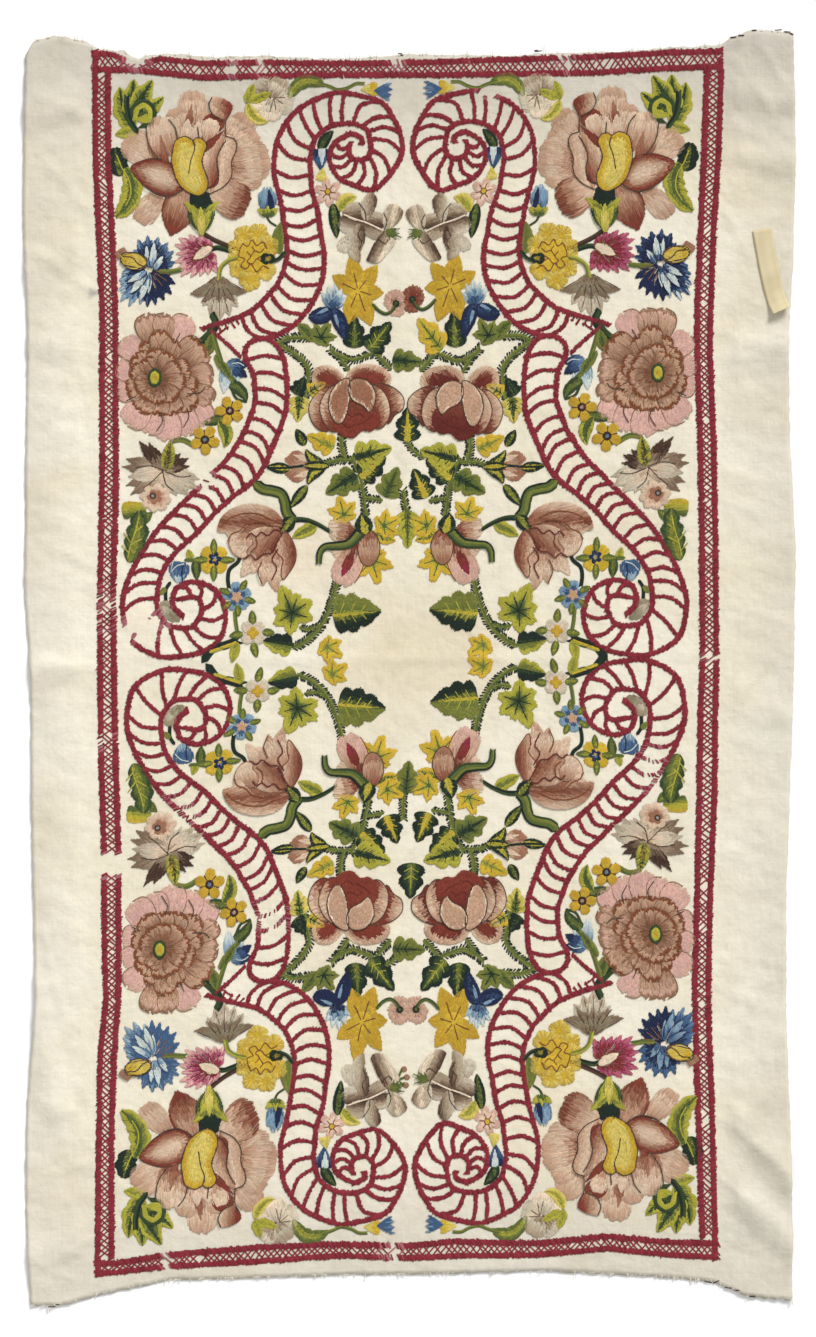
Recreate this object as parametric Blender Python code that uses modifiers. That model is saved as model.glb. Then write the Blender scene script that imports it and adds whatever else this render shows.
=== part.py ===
"""Crewel embroidery panel: a hand-woven linen sheet, worked in wool and lying flat.

Metres, +Z up. The origin is on the surface under the middle of the sheet, and +Y is the panel's top.
Chart places are in millimetres, right of and below the upper left corner of the embroiderer's chart.
The wool is low relief: each worked shape is a thin solid a hair above the linen that carries it.
"""
import bpy
import bmesh
from math import cos, hypot, pi, sin

MM = 0.001

# Driving sizes
SHEET_THICKNESS = 1.2 * MM
WOOL_GAP = 0.3 * MM          # air between the linen and the wool on it
WOOL_HEIGHT = 1.0 * MM
TAPE_THICKNESS = 0.8 * MM
TAPE_CURL = 7.0 * MM         # how high the tape's loose lower end stands
RAIL_WIDTH = 4.2             # chart millimetres, the long lines of a scroll
RIB_WIDTH = 3.0              # chart millimetres, the bars between them
SMALLEST_CELL = 6.0          # a scroll narrower than this is worked solid

# The chart's own middle lines, and the middle of the sheet's box
DESIGN_MIDDLE = (408.5, 659.0)
SHEET_MIDDLE = (409.53, 668.35)

# The sheet's edges, in chart millimetres: (right, down)
TOP_EDGE = [(23, 56), (31, 42), (56, 36), (86, 42), (94, 49.5), (125, 51), (131, 58), (142, 59), (147, 54),
            (182, 55), (208, 58), (260, 56), (312, 59), (364, 58), (404, 54.7), (512, 56), (551, 53.4),
            (616, 52.5), (668, 48), (722, 45.6), (731, 39), (757, 30), (795, 33)]
BOTTOM_EDGE = [(23, 1305), (52, 1306), (88, 1296), (130, 1287), (148, 1284), (163, 1280), (211, 1279),
               (325, 1275), (408, 1274), (554, 1271), (668, 1277), (713, 1281), (749, 1296), (772, 1298),
               (796, 1300)]
# (down, right)
LEFT_EDGE = [(30, 26), (156, 24), (221, 23.4), (330, 28), (460, 26), (590, 25), (679, 31), (822, 32),
             (1001, 36), (1110, 27), (1214, 26), (1306, 31)]
RIGHT_EDGE = [(30, 793), (156, 795.5), (260, 793), (338, 788), (434, 789.5), (551, 795.5), (692, 793),
              (900, 786), (1019, 786), (1149, 791), (1214, 792), (1306, 792)]

# Grid lines of the sheet's mesh, closer together where the margins are rumpled
FIELD = (92.0, 722.0)        # the worked field's sides, flat on the surface
MARGIN_COLUMNS = 5
FIELD_COLUMNS = 15
ROWS = 52
ROW_ENDS = (64.0, 1268.0)
CREASE_ROWS = (650.0, 659.0, 668.0)

# Rumples of the sheet: a soft ridge from one chart place to another
# (start right, start down, end right, end down, half width, height in mm)
RUMPLES = [
    (740, 352, 800, 346, 26, 4.0),
    (736, 1118, 800, 1186, 26, 4.5),
    (744, 1200, 800, 1252, 24, 4.5),
    (740, 92, 800, 100, 26, 3.5),
    (744, 156, 800, 168, 22, 2.5),
    (745, 700, 800, 720, 26, 2.0),
    (20, 118, 72, 104, 26, 3.5),
    (20, 276, 74, 250, 26, 3.5),
    (20, 338, 70, 350, 22, 2.5),
    (20, 672, 72, 668, 24, 3.0),
    (30, 980, 56, 1110, 24, 3.5),
    (20, 1262, 74, 1240, 26, 3.0),
]
MARGIN_FADE = 16.0           # a rumple dies out over this width before the worked field
CREASE = (262, 659, 555, 659, 9, 1.2)   # the pressed fold across the middle

# How the hand-drawn quarters differ: a place in the first quarter, from the middle lines outwards,
# and how far the same thing lies from there in the other three: (across, up) for each
QUARTER_SHIFTS = [
    # across, up, upper right, lower left, lower right
    (218, 494, (-13, 5), (-10, 8), (-8, -6)),
    (51, 512, (0, 2), (-2.5, -2), (1, -2)),
    (205, 330, (-5, 4), (-4, 6), (-3, -7)),
    (221, 52, (-8, 2), (-4, 9), (-10, -1)),
    (253, 281, (-4, 5), (-5, 10), (-7, -6)),
    (49, 369, (-9, 6), (-4, -6), (-6, -4)),
    (51, 261, (-5, -3), (2, -10), (-1, -10)),
    (154, 403, (-12, 0), (-9, -5), (-9, -7)),
    (262, 389, (-7, 7), (-4, 11), (-3, -4)),
    (38, 431, (-9, -2), (-4, 4), (-2, -7)),
    (150, 113, (-6, 2), (-6, 1), (-5, -5)),
]
SHIFT_REACH = 45.0           # how softly the shifts blend from one place to the next
# name: (side, up or down, column of QUARTER_SHIFTS)
QUARTERS = {
    "upper_left": (-1, 1, None),
    "upper_right": (1, 1, 2),
    "lower_left": (-1, -1, 3),
    "lower_right": (1, -1, 4),
}

# The border band, a row for each bend: (along, outer line, inner line)
BAND_TOP = [(92.4, 51, 73), (112, 51.7, 73), (128, 59.5, 73), (144, 60.5, 74), (161, 56.5, 76), (203, 61, 81),
            (260, 60, 79.4), (338, 61, 78), (408, 60.4, 78), (486, 57.8, 77.5), (590, 54.6, 76),
            (668, 50, 71.6), (704, 49.5, 70), (722, 48.5, 70)]
BAND_BOTTOM = [(95, 1276.6, 1260), (115, 1274.5, 1259.8), (166, 1269, 1252), (260, 1263.6, 1244),
               (338, 1258, 1241), (406, 1260.5, 1242.8), (452, 1258.4, 1238.4), (538, 1257, 1240),
               (608, 1251, 1233), (668, 1257, 1239), (719, 1259.7, 1240)]
BAND_LEFT_UPPER = [(73.6, 92.6, 111), (156, 93, 111.4), (234, 96.3, 115.3), (312, 99.7, 118.4),
                   (486, 99.7, 119), (590, 97.6, 116.3), (660, 97.6, 117), (744, 98.4, 118.4),
                   (855, 101.5, 121.5)]
BAND_LEFT_LOWER = [(874, 101.5, 121.5), (952, 102, 121.5), (999, 103.6, 121.5), (1058, 97.6, 117),
                   (1136, 96.3, 114.5), (1258.5, 95, 114.5)]
BAND_RIGHT = [(70.6, 723.6, 704), (156, 721, 700.8), (234, 716, 697.6), (312, 713, 694), (356, 712.5, 694),
              (434, 716, 697), (538, 718, 699), (660, 719, 699.5), (718, 717.7, 697.4), (796, 717, 696.3),
              (900, 712.5, 694), (978, 711, 691.6), (1006, 711, 692), (1110, 714.5, 695),
              (1238.8, 717.7, 699.5)]

# The scrolls, a row for each rib: (outer right, outer down, inner right, inner down)
UPPER_SCROLL = [
    (244, 320, 257, 338), (251, 312, 278, 335), (261, 303, 293, 326), (270, 293, 304, 315),
    (277, 285, 314, 300), (283, 272, 321, 284), (286, 262, 324, 268), (287, 250, 324, 252),
    (286, 236, 321, 235), (284, 224, 319, 219), (282, 208, 316, 204), (278, 190, 312, 191),
    (274, 170, 311, 175), (277, 142, 310, 161), (287, 122, 312, 150), (299, 109, 315, 140),
    (313, 101, 322, 132), (331, 94, 332, 126), (345, 93, 342, 124), (380, 102, 353, 124),
    (393, 118, 362, 127), (400, 133, 368, 132), (402, 153, 370, 139), (390, 175, 371, 149),
    (373, 190, 369, 156), (356, 186, 363, 160), (340, 179, 357, 160), (331, 166, 352, 158),
    (330, 153, 349, 153), (336, 142, 349, 147), (350, 134, 351, 142),
]
SCROLL_TIP = [(201, 330), (221, 324)]        # the free point, upper side
SCROLL_TIP_BACK = [(241, 324), (222, 329), (206, 332)]
LOWER_SCROLL = [
    (246, 361, 284, 359), (253, 374, 287, 380), (255, 389, 287, 400), (255, 403, 285, 415),
    (250, 418, 278, 434), (245, 431, 270, 453), (239, 441, 265, 465), (231, 454, 256, 478),
    (221, 466, 245, 488), (211, 475, 234, 496), (201, 486, 225, 504), (191, 495, 216, 512),
    (181, 505, 207, 522), (171, 515, 198, 532), (160, 527, 187, 542), (149, 542, 178, 550),
    (139, 558, 169, 561), (130, 576, 162, 573), (124, 594, 159, 583), (123, 612, 157, 598),
    (131, 640, 158, 611), (158, 656, 163, 619), (183, 656, 170, 626), (204, 651, 184, 628),
    (220, 638, 193, 626), (226, 615, 199, 618), (217, 592, 202, 610), (196, 582, 200, 600),
    (178, 587, 192, 597), (172, 600, 181, 599),
]
SCROLL_ARCH = [(253, 347), (262, 343), (274, 343.5), (281, 349)]   # the lower scroll's rounded head
SCROLL_SPUR = [(241, 362), (225, 347), (214, 338.5), (216.5, 335.5), (228, 343), (243.5, 356)]
ARCH_CELL = [(251, 355.4), (258, 349.3), (271, 348.2), (279, 355.2)]

# The larger flowers: each is an oval with lobes or points round it
# name, right, down, half width, half height, lobes, depth of the dips, pointed, turn in degrees, colour
FLOWERS = [
    ("peony", 197, 162, 68, 68, 9, 0.20, False, 10, (0.55, 0.36, 0.27)),
    ("cornflower", 150, 272, 24, 35, 11, 0.22, True, 0, (0.05, 0.11, 0.28)),
    ("thistle", 198, 256, 19, 18, 9, 0.25, True, 0, (0.50, 0.16, 0.22)),
    ("marigold", 254, 257, 20, 29, 7, 0.16, False, 0, (0.62, 0.42, 0.05)),
    ("lily", 371, 228, 29, 31, 4, 0.42, False, 40, (0.42, 0.36, 0.28)),
    ("star_flower", 358, 290, 25, 33, 6, 0.42, True, 97, (0.64, 0.40, 0.05)),
    ("chrysanthemum", 166, 378, 43, 57, 11, 0.12, False, 0, (0.52, 0.34, 0.27)),
    ("rose", 356, 402, 43, 33, 7, 0.12, False, 90, (0.42, 0.14, 0.09)),
    ("tulip", 258, 546, 34, 37, 6, 0.24, False, 30, (0.55, 0.33, 0.26)),
    ("rosebud", 350, 551, 20, 28, 5, 0.20, False, 90, (0.52, 0.25, 0.22)),
    ("mallow", 163, 469, 32, 23, 9, 0.28, True, 0, (0.46, 0.38, 0.30)),
]
LOBE_ROUND = (0.0, 0.82, 1.0, 0.82)   # a round lobe's swell at its four points

# The woven tape on the right margin, from its upper end to its loose lower end
TAPE_WIDTH = 19.0 * MM
TAPE_STATIONS = [(761.5, 230, 0.0), (765.5, 252, 0.0), (769.5, 273, 0.0), (773.5, 290, 0.0),
                 (777.0, 302, 0.1), (779.5, 308, 0.45), (781.0, 311.5, 1.0)]   # right, down, share of the curl

LINEN_COLOUR = (0.80, 0.75, 0.64)
CRIMSON = (0.26, 0.020, 0.038)
TAPE_COLOUR = (0.78, 0.70, 0.48)


def clear_scene():
    for item in list(bpy.data.objects):
        bpy.data.objects.remove(item, do_unlink=True)


def make_collection(name):
    group = bpy.data.collections.new(name)
    bpy.context.scene.collection.children.link(group)
    return group


def material(name, colour, roughness=0.9):
    """A matt textile finish."""
    finish = bpy.data.materials.new(name)
    finish.use_nodes = True
    shader = finish.node_tree.nodes["Principled BSDF"]
    shader.inputs["Base Color"].default_value = (*colour, 1.0)
    shader.inputs["Roughness"].default_value = roughness
    finish.diffuse_color = (*colour, 1.0)
    return finish


def along(table, place):
    """Straight-line reading of a two-column table."""
    rows = sorted(table)
    if place <= rows[0][0]:
        return rows[0][1]
    for (a, low), (b, high) in zip(rows, rows[1:]):
        if place <= b:
            return low + (high - low) * (place - a) / (b - a)
    return rows[-1][1]


def to_world(right, down):
    """A chart place in the panel's frame, in metres."""
    return (right - SHEET_MIDDLE[0]) * MM, (SHEET_MIDDLE[1] - down) * MM


def quarter_place(quarter, right, down):
    """Where a place charted in the upper left quarter lies in another quarter, on the chart."""
    side, rise, column = QUARTERS[quarter]
    across, up = DESIGN_MIDDLE[0] - right, DESIGN_MIDDLE[1] - down
    if column is not None:
        weights = [1 / (hypot(across - row[0], up - row[1]) ** 2 + SHIFT_REACH ** 2) ** 2
                   for row in QUARTER_SHIFTS]
        total = sum(weights)
        across_shift = sum(w * row[column][0] for w, row in zip(weights, QUARTER_SHIFTS)) / total
        up_shift = sum(w * row[column][1] for w, row in zip(weights, QUARTER_SHIFTS)) / total
        across, up = across + across_shift, up + up_shift
    return DESIGN_MIDDLE[0] + side * across, DESIGN_MIDDLE[1] - rise * up


def ridge(right, down, rumple):
    """Height in mm that one rumple gives a chart place."""
    x0, y0, x1, y1, half_width, height = rumple
    dx, dy = x1 - x0, y1 - y0
    share = ((right - x0) * dx + (down - y0) * dy) / (dx * dx + dy * dy)
    share = min(max(share, 0.0), 1.0)
    away = hypot(right - x0 - share * dx, down - y0 - share * dy)
    if away >= half_width:
        return 0.0
    return height * cos(pi / 2 * away / half_width) ** 2


def sheet_lift(right, down):
    """How far the sheet's underside stands off the surface, in metres."""
    outside = max(FIELD[0] - right, right - FIELD[1], 0.0)
    fade = min(outside / MARGIN_FADE, 1.0)
    lift = max(ridge(right, down, rumple) for rumple in RUMPLES) * fade
    return (lift + ridge(right, down, CREASE)) * MM


def spread(start, end, count):
    return [start + (end - start) * i / count for i in range(count + 1)]


def build_linen(group):
    """The whole ground cloth: uneven raw edges, flat field and rumpled margins."""
    left, right = min(x for _, x in LEFT_EDGE), max(x for _, x in RIGHT_EDGE)
    columns = (spread(left, FIELD[0], MARGIN_COLUMNS) + spread(*FIELD, FIELD_COLUMNS)[1:]
               + spread(FIELD[1], right, MARGIN_COLUMNS)[1:])
    rows = [down for down in spread(*ROW_ENDS, ROWS) if min(abs(down - c) for c in CREASE_ROWS) > 12]
    rows = sorted(rows + list(CREASE_ROWS))
    last_column = len(columns) - 1

    mesh = bmesh.new()
    grid = []
    for number in range(-1, len(rows) + 1):
        line = []
        for index, nominal in enumerate(columns):
            if number < 0:
                down = along(TOP_EDGE, nominal)
            elif number == len(rows):
                down = along(BOTTOM_EDGE, nominal)
            else:
                down = rows[number]
            place = nominal
            if index == 0:
                place = along(LEFT_EDGE, down)
            elif index == last_column:
                place = along(RIGHT_EDGE, down)
            elif index == 1:
                place = (nominal + along(LEFT_EDGE, down) + columns[1] - columns[0]) / 2
            x, y = to_world(place, down)
            line.append(mesh.verts.new((x, y, sheet_lift(place, down))))
        grid.append(line)
    for upper, lower in zip(grid, grid[1:]):
        for i in range(last_column):
            mesh.faces.new((lower[i], lower[i + 1], upper[i + 1], upper[i]))
    data = bpy.data.meshes.new("linen_ground")
    mesh.to_mesh(data)
    mesh.free()
    data.shade_smooth()
    sheet = bpy.data.objects.new("linen_ground", data)
    sheet.data.materials.append(material("linen", LINEN_COLOUR))
    group.objects.link(sheet)
    thicken = sheet.modifiers.new("thickness", "SOLIDIFY")
    thicken.thickness = SHEET_THICKNESS
    thicken.offset = 1.0
    return sheet


def build_outline(group, name, outlines, finish, place=to_world, height=WOOL_HEIGHT):
    """A flat worked shape: its outline first, then any openings in it, in chart millimetres."""
    curve = bpy.data.curves.new(name, "CURVE")
    curve.dimensions = "2D"
    curve.fill_mode = "BOTH"
    curve.extrude = height / 2
    for outline in outlines:
        spline = curve.splines.new("POLY")
        spline.points.add(len(outline) - 1)
        for point, (right, down) in zip(spline.points, outline):
            point.co = (*place(right, down), 0.0, 1.0)
        spline.use_cyclic_u = True
    curve.materials.append(finish)
    shape = bpy.data.objects.new(name, curve)
    shape.location = (0.0, 0.0, SHEET_THICKNESS + WOOL_GAP + height / 2)
    group.objects.link(shape)
    return shape


def band_outline(rows, upright):
    """Both lines of a stretch of border as one closed outline."""
    outer = [(line, place) if upright else (place, line) for place, line, _ in rows]
    inner = [(line, place) if upright else (place, line) for place, _, line in rows]
    return outer + inner[::-1]


def build_border(group, crimson):
    stretches = [
        ("border_top", BAND_TOP, False),
        ("border_bottom", BAND_BOTTOM, False),
        ("border_left_upper", BAND_LEFT_UPPER, True),
        ("border_left_lower", BAND_LEFT_LOWER, True),
        ("border_right", BAND_RIGHT, True),
    ]
    for name, rows, upright in stretches:
        build_outline(group, name, [band_outline(rows, upright)], crimson)


def shift(place, start, end, length):
    """A place moved by a length in the direction from start to end."""
    reach = hypot(end[0] - start[0], end[1] - start[1])
    return place[0] + (end[0] - start[0]) * length / reach, place[1] + (end[1] - start[1]) * length / reach


def step(start, end, length):
    """The place that lies a given length from start towards end."""
    return shift(start, start, end, length)


def ladder_cells(rows):
    """The bare linen between two ribs and the two rails, for each pair of rows."""
    cells = []
    half_rail, half_rib = RAIL_WIDTH / 2, RIB_WIDTH / 2
    for here, there in zip(rows, rows[1:]):
        outer_a, inner_a = here[:2], here[2:]
        outer_b, inner_b = there[:2], there[2:]
        narrowest = min(hypot(a[0] - a[2], a[1] - a[3]) for a in (here, there))
        if narrowest < RAIL_WIDTH + SMALLEST_CELL:
            continue
        corners = [
            shift(step(outer_a, inner_a, half_rail), outer_a, outer_b, half_rib),
            shift(step(outer_b, inner_b, half_rail), outer_b, outer_a, half_rib),
            shift(step(inner_b, outer_b, half_rail), inner_b, inner_a, half_rib),
            shift(step(inner_a, outer_a, half_rail), inner_a, inner_b, half_rib),
        ]
        inner_length = hypot(inner_a[0] - inner_b[0], inner_a[1] - inner_b[1])
        if inner_length < 2 * RIB_WIDTH:
            corners = corners[:2] + [((corners[2][0] + corners[3][0]) / 2, (corners[2][1] + corners[3][1]) / 2)]
        cells.append(corners)
    return cells


def ladder_sides(rows):
    """The outer sides of the two rails."""
    half = RAIL_WIDTH / 2
    outer = [step(row[:2], row[2:], -half) for row in rows]
    inner = [step(row[2:], row[:2], -half) for row in rows]
    return outer, inner


def build_scrolls(group, crimson):
    """Two ribbed scrolls in each quarter."""
    upper_outer, upper_inner = ladder_sides(UPPER_SCROLL)
    upper = [SCROLL_TIP + upper_outer + upper_inner[::-1] + SCROLL_TIP_BACK] + ladder_cells(UPPER_SCROLL)
    lower_outer, lower_inner = ladder_sides(LOWER_SCROLL)
    lower = [SCROLL_SPUR + SCROLL_ARCH + lower_inner + lower_outer[::-1]]
    lower += [ARCH_CELL] + ladder_cells(LOWER_SCROLL)
    for quarter in QUARTERS:
        def place(right, down, quarter=quarter):
            return to_world(*quarter_place(quarter, right, down))
        build_outline(group, f"scroll_upper_{quarter}", upper, crimson, place)
        build_outline(group, f"scroll_lower_{quarter}", lower, crimson, place)


def lobed_outline(right, down, half_width, half_height, lobes, depth, pointed, turn):
    """An oval with round lobes, or with points, round its rim."""
    swells = (0.0, 1.0) if pointed else LOBE_ROUND
    count = lobes * len(swells)
    outline = []
    for i in range(count):
        reach = 1.0 - depth * (1.0 - swells[i % len(swells)])
        heading = 2 * pi * i / count + turn * pi / 180
        outline.append((right + half_width * reach * cos(heading), down + half_height * reach * sin(heading)))
    return outline


def build_flowers(group):
    """The large flowers, one of each kind in every quarter."""
    for name, *shape, colour in FLOWERS:
        finish = material(f"{name}_wool", colour)
        outline = lobed_outline(*shape)
        for quarter in QUARTERS:
            def place(right, down, quarter=quarter):
                return to_world(*quarter_place(quarter, right, down))
            build_outline(group, f"{name}_{quarter}", [outline], finish, place)


def build_tape(group):
    """A narrow bare tape on the right margin, its lower end curling up."""
    mesh = bmesh.new()
    sides = []
    for number, (right, down, curl) in enumerate(TAPE_STATIONS):
        before = TAPE_STATIONS[max(number - 1, 0)]
        after = TAPE_STATIONS[min(number + 1, len(TAPE_STATIONS) - 1)]
        dx, dy = after[0] - before[0], before[1] - after[1]
        reach = hypot(dx, dy)
        x, y = to_world(right, down)
        z = SHEET_THICKNESS + WOOL_GAP + TAPE_CURL * curl
        offset = TAPE_WIDTH / 2
        sides.append([mesh.verts.new((x + dy / reach * offset * side, y - dx / reach * offset * side, z))
                      for side in (-1, 1)])
    for (a, b), (c, d) in zip(sides, sides[1:]):
        mesh.faces.new((a, b, d, c))
    bmesh.ops.recalc_face_normals(mesh, faces=mesh.faces)
    if sum(face.normal.z for face in mesh.faces) < 0:
        bmesh.ops.reverse_faces(mesh, faces=mesh.faces)
    data = bpy.data.meshes.new("label_tape")
    mesh.to_mesh(data)
    mesh.free()
    tape = bpy.data.objects.new("label_tape", data)
    tape.data.materials.append(material("tape", TAPE_COLOUR, 0.8))
    group.objects.link(tape)
    thicken = tape.modifiers.new("thickness", "SOLIDIFY")
    thicken.thickness = TAPE_THICKNESS
    thicken.offset = 1.0
    return tape


def main():
    clear_scene()
    group = make_collection("crewel_embroidery_panel")
    crimson = material("crimson_wool", CRIMSON)
    build_linen(group)
    build_border(group, crimson)
    build_scrolls(group, crimson)
    build_flowers(group)
    build_tape(group)


main()
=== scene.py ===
"""Looks of the crewel embroidery panel: its linen, and every wool stitch on it.

Motifs are charted in millimetres, right of and below the upper left corner of the embroiderer's chart,
in the upper left quarter, and then worked in all four quarters, each a little off as by hand.
A stitch is a low ridge of yarn with pointed ends. Stitches are laid by a Needle, which has a
method for each way of working: petals, leaves, round blooms, patches, stems, lines and rails.
"""
from math import ceil, cos, hypot, pi, radians, sin

import bpy
import numpy as np
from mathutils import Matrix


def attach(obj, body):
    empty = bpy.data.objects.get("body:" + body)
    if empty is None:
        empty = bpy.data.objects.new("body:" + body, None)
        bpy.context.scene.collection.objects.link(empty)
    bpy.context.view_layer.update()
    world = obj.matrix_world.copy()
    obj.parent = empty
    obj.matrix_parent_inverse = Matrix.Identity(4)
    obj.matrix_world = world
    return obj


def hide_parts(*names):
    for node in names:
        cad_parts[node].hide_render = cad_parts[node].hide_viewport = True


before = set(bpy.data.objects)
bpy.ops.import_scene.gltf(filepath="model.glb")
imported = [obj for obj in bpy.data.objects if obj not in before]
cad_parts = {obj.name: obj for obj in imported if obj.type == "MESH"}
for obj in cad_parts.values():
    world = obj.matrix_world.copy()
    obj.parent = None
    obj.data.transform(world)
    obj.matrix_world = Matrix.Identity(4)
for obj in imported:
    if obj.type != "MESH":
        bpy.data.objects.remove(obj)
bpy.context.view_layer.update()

MM = 0.001

# --- Sizes and places shared with the part's source ---------------------------------------------
SHEET_THICKNESS = 1.2        # mm, as all sizes on the chart
DESIGN_MIDDLE = np.array([408.5, 659.0])
SHEET_MIDDLE = np.array([409.53, 668.35])
FLAT_WIDTH, FLAT_LENGTH = 0.772, 1.275   # metres, the cut of linen

# The sheet's edges: (right, down), then (down, right)
TOP_EDGE = [(23, 56), (31, 42), (56, 36), (86, 42), (94, 49.5), (125, 51), (131, 58), (142, 59), (147, 54),
            (182, 55), (208, 58), (260, 56), (312, 59), (364, 58), (404, 54.7), (512, 56), (551, 53.4),
            (616, 52.5), (668, 48), (722, 45.6), (731, 39), (757, 30), (795, 33)]
BOTTOM_EDGE = [(23, 1305), (52, 1306), (88, 1296), (130, 1287), (148, 1284), (163, 1280), (211, 1279),
               (325, 1275), (408, 1274), (554, 1271), (668, 1277), (713, 1281), (749, 1296), (772, 1298),
               (796, 1300)]
LEFT_EDGE = [(30, 26), (156, 24), (221, 23.4), (330, 28), (460, 26), (590, 25), (679, 31), (822, 32),
             (1001, 36), (1110, 27), (1214, 26), (1306, 31)]
RIGHT_EDGE = [(30, 793), (156, 795.5), (260, 793), (338, 788), (434, 789.5), (551, 795.5), (692, 793),
              (900, 786), (1019, 786), (1149, 791), (1214, 792), (1306, 792)]
FIELD = (92.0, 722.0)

# (start right, start down, end right, end down, half width, height)
RUMPLES = [
    (740, 352, 800, 346, 26, 4.0), (736, 1118, 800, 1186, 26, 4.5), (744, 1200, 800, 1252, 24, 4.5),
    (740, 92, 800, 100, 26, 3.5), (744, 156, 800, 168, 22, 2.5), (745, 700, 800, 720, 26, 2.0),
    (20, 118, 72, 104, 26, 3.5), (20, 276, 74, 250, 26, 3.5), (20, 338, 70, 350, 22, 2.5),
    (20, 672, 72, 668, 24, 3.0), (30, 980, 56, 1110, 24, 3.5), (20, 1262, 74, 1240, 26, 3.0),
]
MARGIN_FADE = 16.0
CREASES = [(262, 659, 555, 659, 9, 1.2), (120, 655, 262, 660, 7, 0.6), (555, 660, 700, 654, 7, 0.6)]

# across, up, then (across, up) shifts for the upper right, lower left and lower right quarters
QUARTER_SHIFTS = [
    (218, 494, (-13, 5), (-10, 8), (-8, -6)), (51, 512, (0, 2), (-2.5, -2), (1, -2)),
    (205, 330, (-5, 4), (-4, 6), (-3, -7)), (221, 52, (-8, 2), (-4, 9), (-10, -1)),
    (253, 281, (-4, 5), (-5, 10), (-7, -6)), (49, 369, (-9, 6), (-4, -6), (-6, -4)),
    (51, 261, (-5, -3), (2, -10), (-1, -10)), (154, 403, (-12, 0), (-9, -5), (-9, -7)),
    (262, 389, (-7, 7), (-4, 11), (-3, -4)), (38, 431, (-9, -2), (-4, 4), (-2, -7)),
    (150, 113, (-6, 2), (-6, 1), (-5, -5)),
]
SHIFT_REACH = 45.0
# name: (side, up or down, column of QUARTER_SHIFTS)
QUARTERS = {"upper_left": (-1, 1, None), "upper_right": (1, 1, 2),
            "lower_left": (-1, -1, 3), "lower_right": (1, -1, 4)}

# The border band, a row for each bend: (along, outer line, inner line)
BANDS = {
    "border_top": (False, [
        (92.4, 51, 73), (112, 51.7, 73), (128, 59.5, 73), (144, 60.5, 74), (161, 56.5, 76), (203, 61, 81),
        (260, 60, 79.4), (338, 61, 78), (408, 60.4, 78), (486, 57.8, 77.5), (590, 54.6, 76),
        (668, 50, 71.6), (704, 49.5, 70), (722, 48.5, 70)]),
    "border_bottom": (False, [
        (95, 1276.6, 1260), (115, 1274.5, 1259.8), (166, 1269, 1252), (260, 1263.6, 1244),
        (338, 1258, 1241), (406, 1260.5, 1242.8), (452, 1258.4, 1238.4), (538, 1257, 1240),
        (608, 1251, 1233), (668, 1257, 1239), (719, 1259.7, 1240)]),
    "border_left_upper": (True, [
        (73.6, 92.6, 111), (156, 93, 111.4), (234, 96.3, 115.3), (312, 99.7, 118.4), (486, 99.7, 119),
        (590, 97.6, 116.3), (660, 97.6, 117), (744, 98.4, 118.4), (855, 101.5, 121.5)]),
    "border_left_lower": (True, [
        (874, 101.5, 121.5), (952, 102, 121.5), (999, 103.6, 121.5), (1058, 97.6, 117),
        (1136, 96.3, 114.5), (1258.5, 95, 114.5)]),
    "border_right": (True, [
        (70.6, 723.6, 704), (156, 721, 700.8), (234, 716, 697.6), (312, 713, 694), (356, 712.5, 694),
        (434, 716, 697), (538, 718, 699), (660, 719, 699.5), (718, 717.7, 697.4), (796, 717, 696.3),
        (900, 712.5, 694), (978, 711, 691.6), (1006, 711, 692), (1110, 714.5, 695),
        (1238.8, 717.7, 699.5)]),
}

# The scrolls, a row for each rib: (outer right, outer down, inner right, inner down)
UPPER_SCROLL = [
    (244, 320, 257, 338), (251, 312, 278, 335), (261, 303, 293, 326), (270, 293, 304, 315),
    (277, 285, 314, 300), (283, 272, 321, 284), (286, 262, 324, 268), (287, 250, 324, 252),
    (286, 236, 321, 235), (284, 224, 319, 219), (282, 208, 316, 204), (278, 190, 312, 191),
    (274, 170, 311, 175), (277, 142, 310, 161), (287, 122, 312, 150), (299, 109, 315, 140),
    (313, 101, 322, 132), (331, 94, 332, 126), (345, 93, 342, 124), (380, 102, 353, 124),
    (393, 118, 362, 127), (400, 133, 368, 132), (402, 153, 370, 139), (390, 175, 371, 149),
    (373, 190, 369, 156), (356, 186, 363, 160), (340, 179, 357, 160), (331, 166, 352, 158),
    (330, 153, 349, 153), (336, 142, 349, 147), (350, 134, 351, 142),
]
LOWER_SCROLL = [
    (246, 361, 284, 359), (253, 374, 287, 380), (255, 389, 287, 400), (255, 403, 285, 415),
    (250, 418, 278, 434), (245, 431, 270, 453), (239, 441, 265, 465), (231, 454, 256, 478),
    (221, 466, 245, 488), (211, 475, 234, 496), (201, 486, 225, 504), (191, 495, 216, 512),
    (181, 505, 207, 522), (171, 515, 198, 532), (160, 527, 187, 542), (149, 542, 178, 550),
    (139, 558, 169, 561), (130, 576, 162, 573), (124, 594, 159, 583), (123, 612, 157, 598),
    (131, 640, 158, 611), (158, 656, 163, 619), (183, 656, 170, 626), (204, 651, 184, 628),
    (220, 638, 193, 626), (226, 615, 199, 618), (217, 592, 202, 610), (196, 582, 200, 600),
    (178, 587, 192, 597), (172, 600, 181, 599),
]
# How far each rib bows, towards the tip of its scroll: (first rib, last rib, bow)
UPPER_BOWS = [(0, 0, 2), (1, 5, 7), (6, 12, 5), (13, 14, 6), (15, 18, 1.5), (19, 19, 9), (20, 22, 5),
              (23, 29, 5)]
LOWER_BOWS = [(0, 4, -4), (5, 13, -6), (14, 19, -5), (20, 23, -2), (24, 28, -4)]

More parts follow.
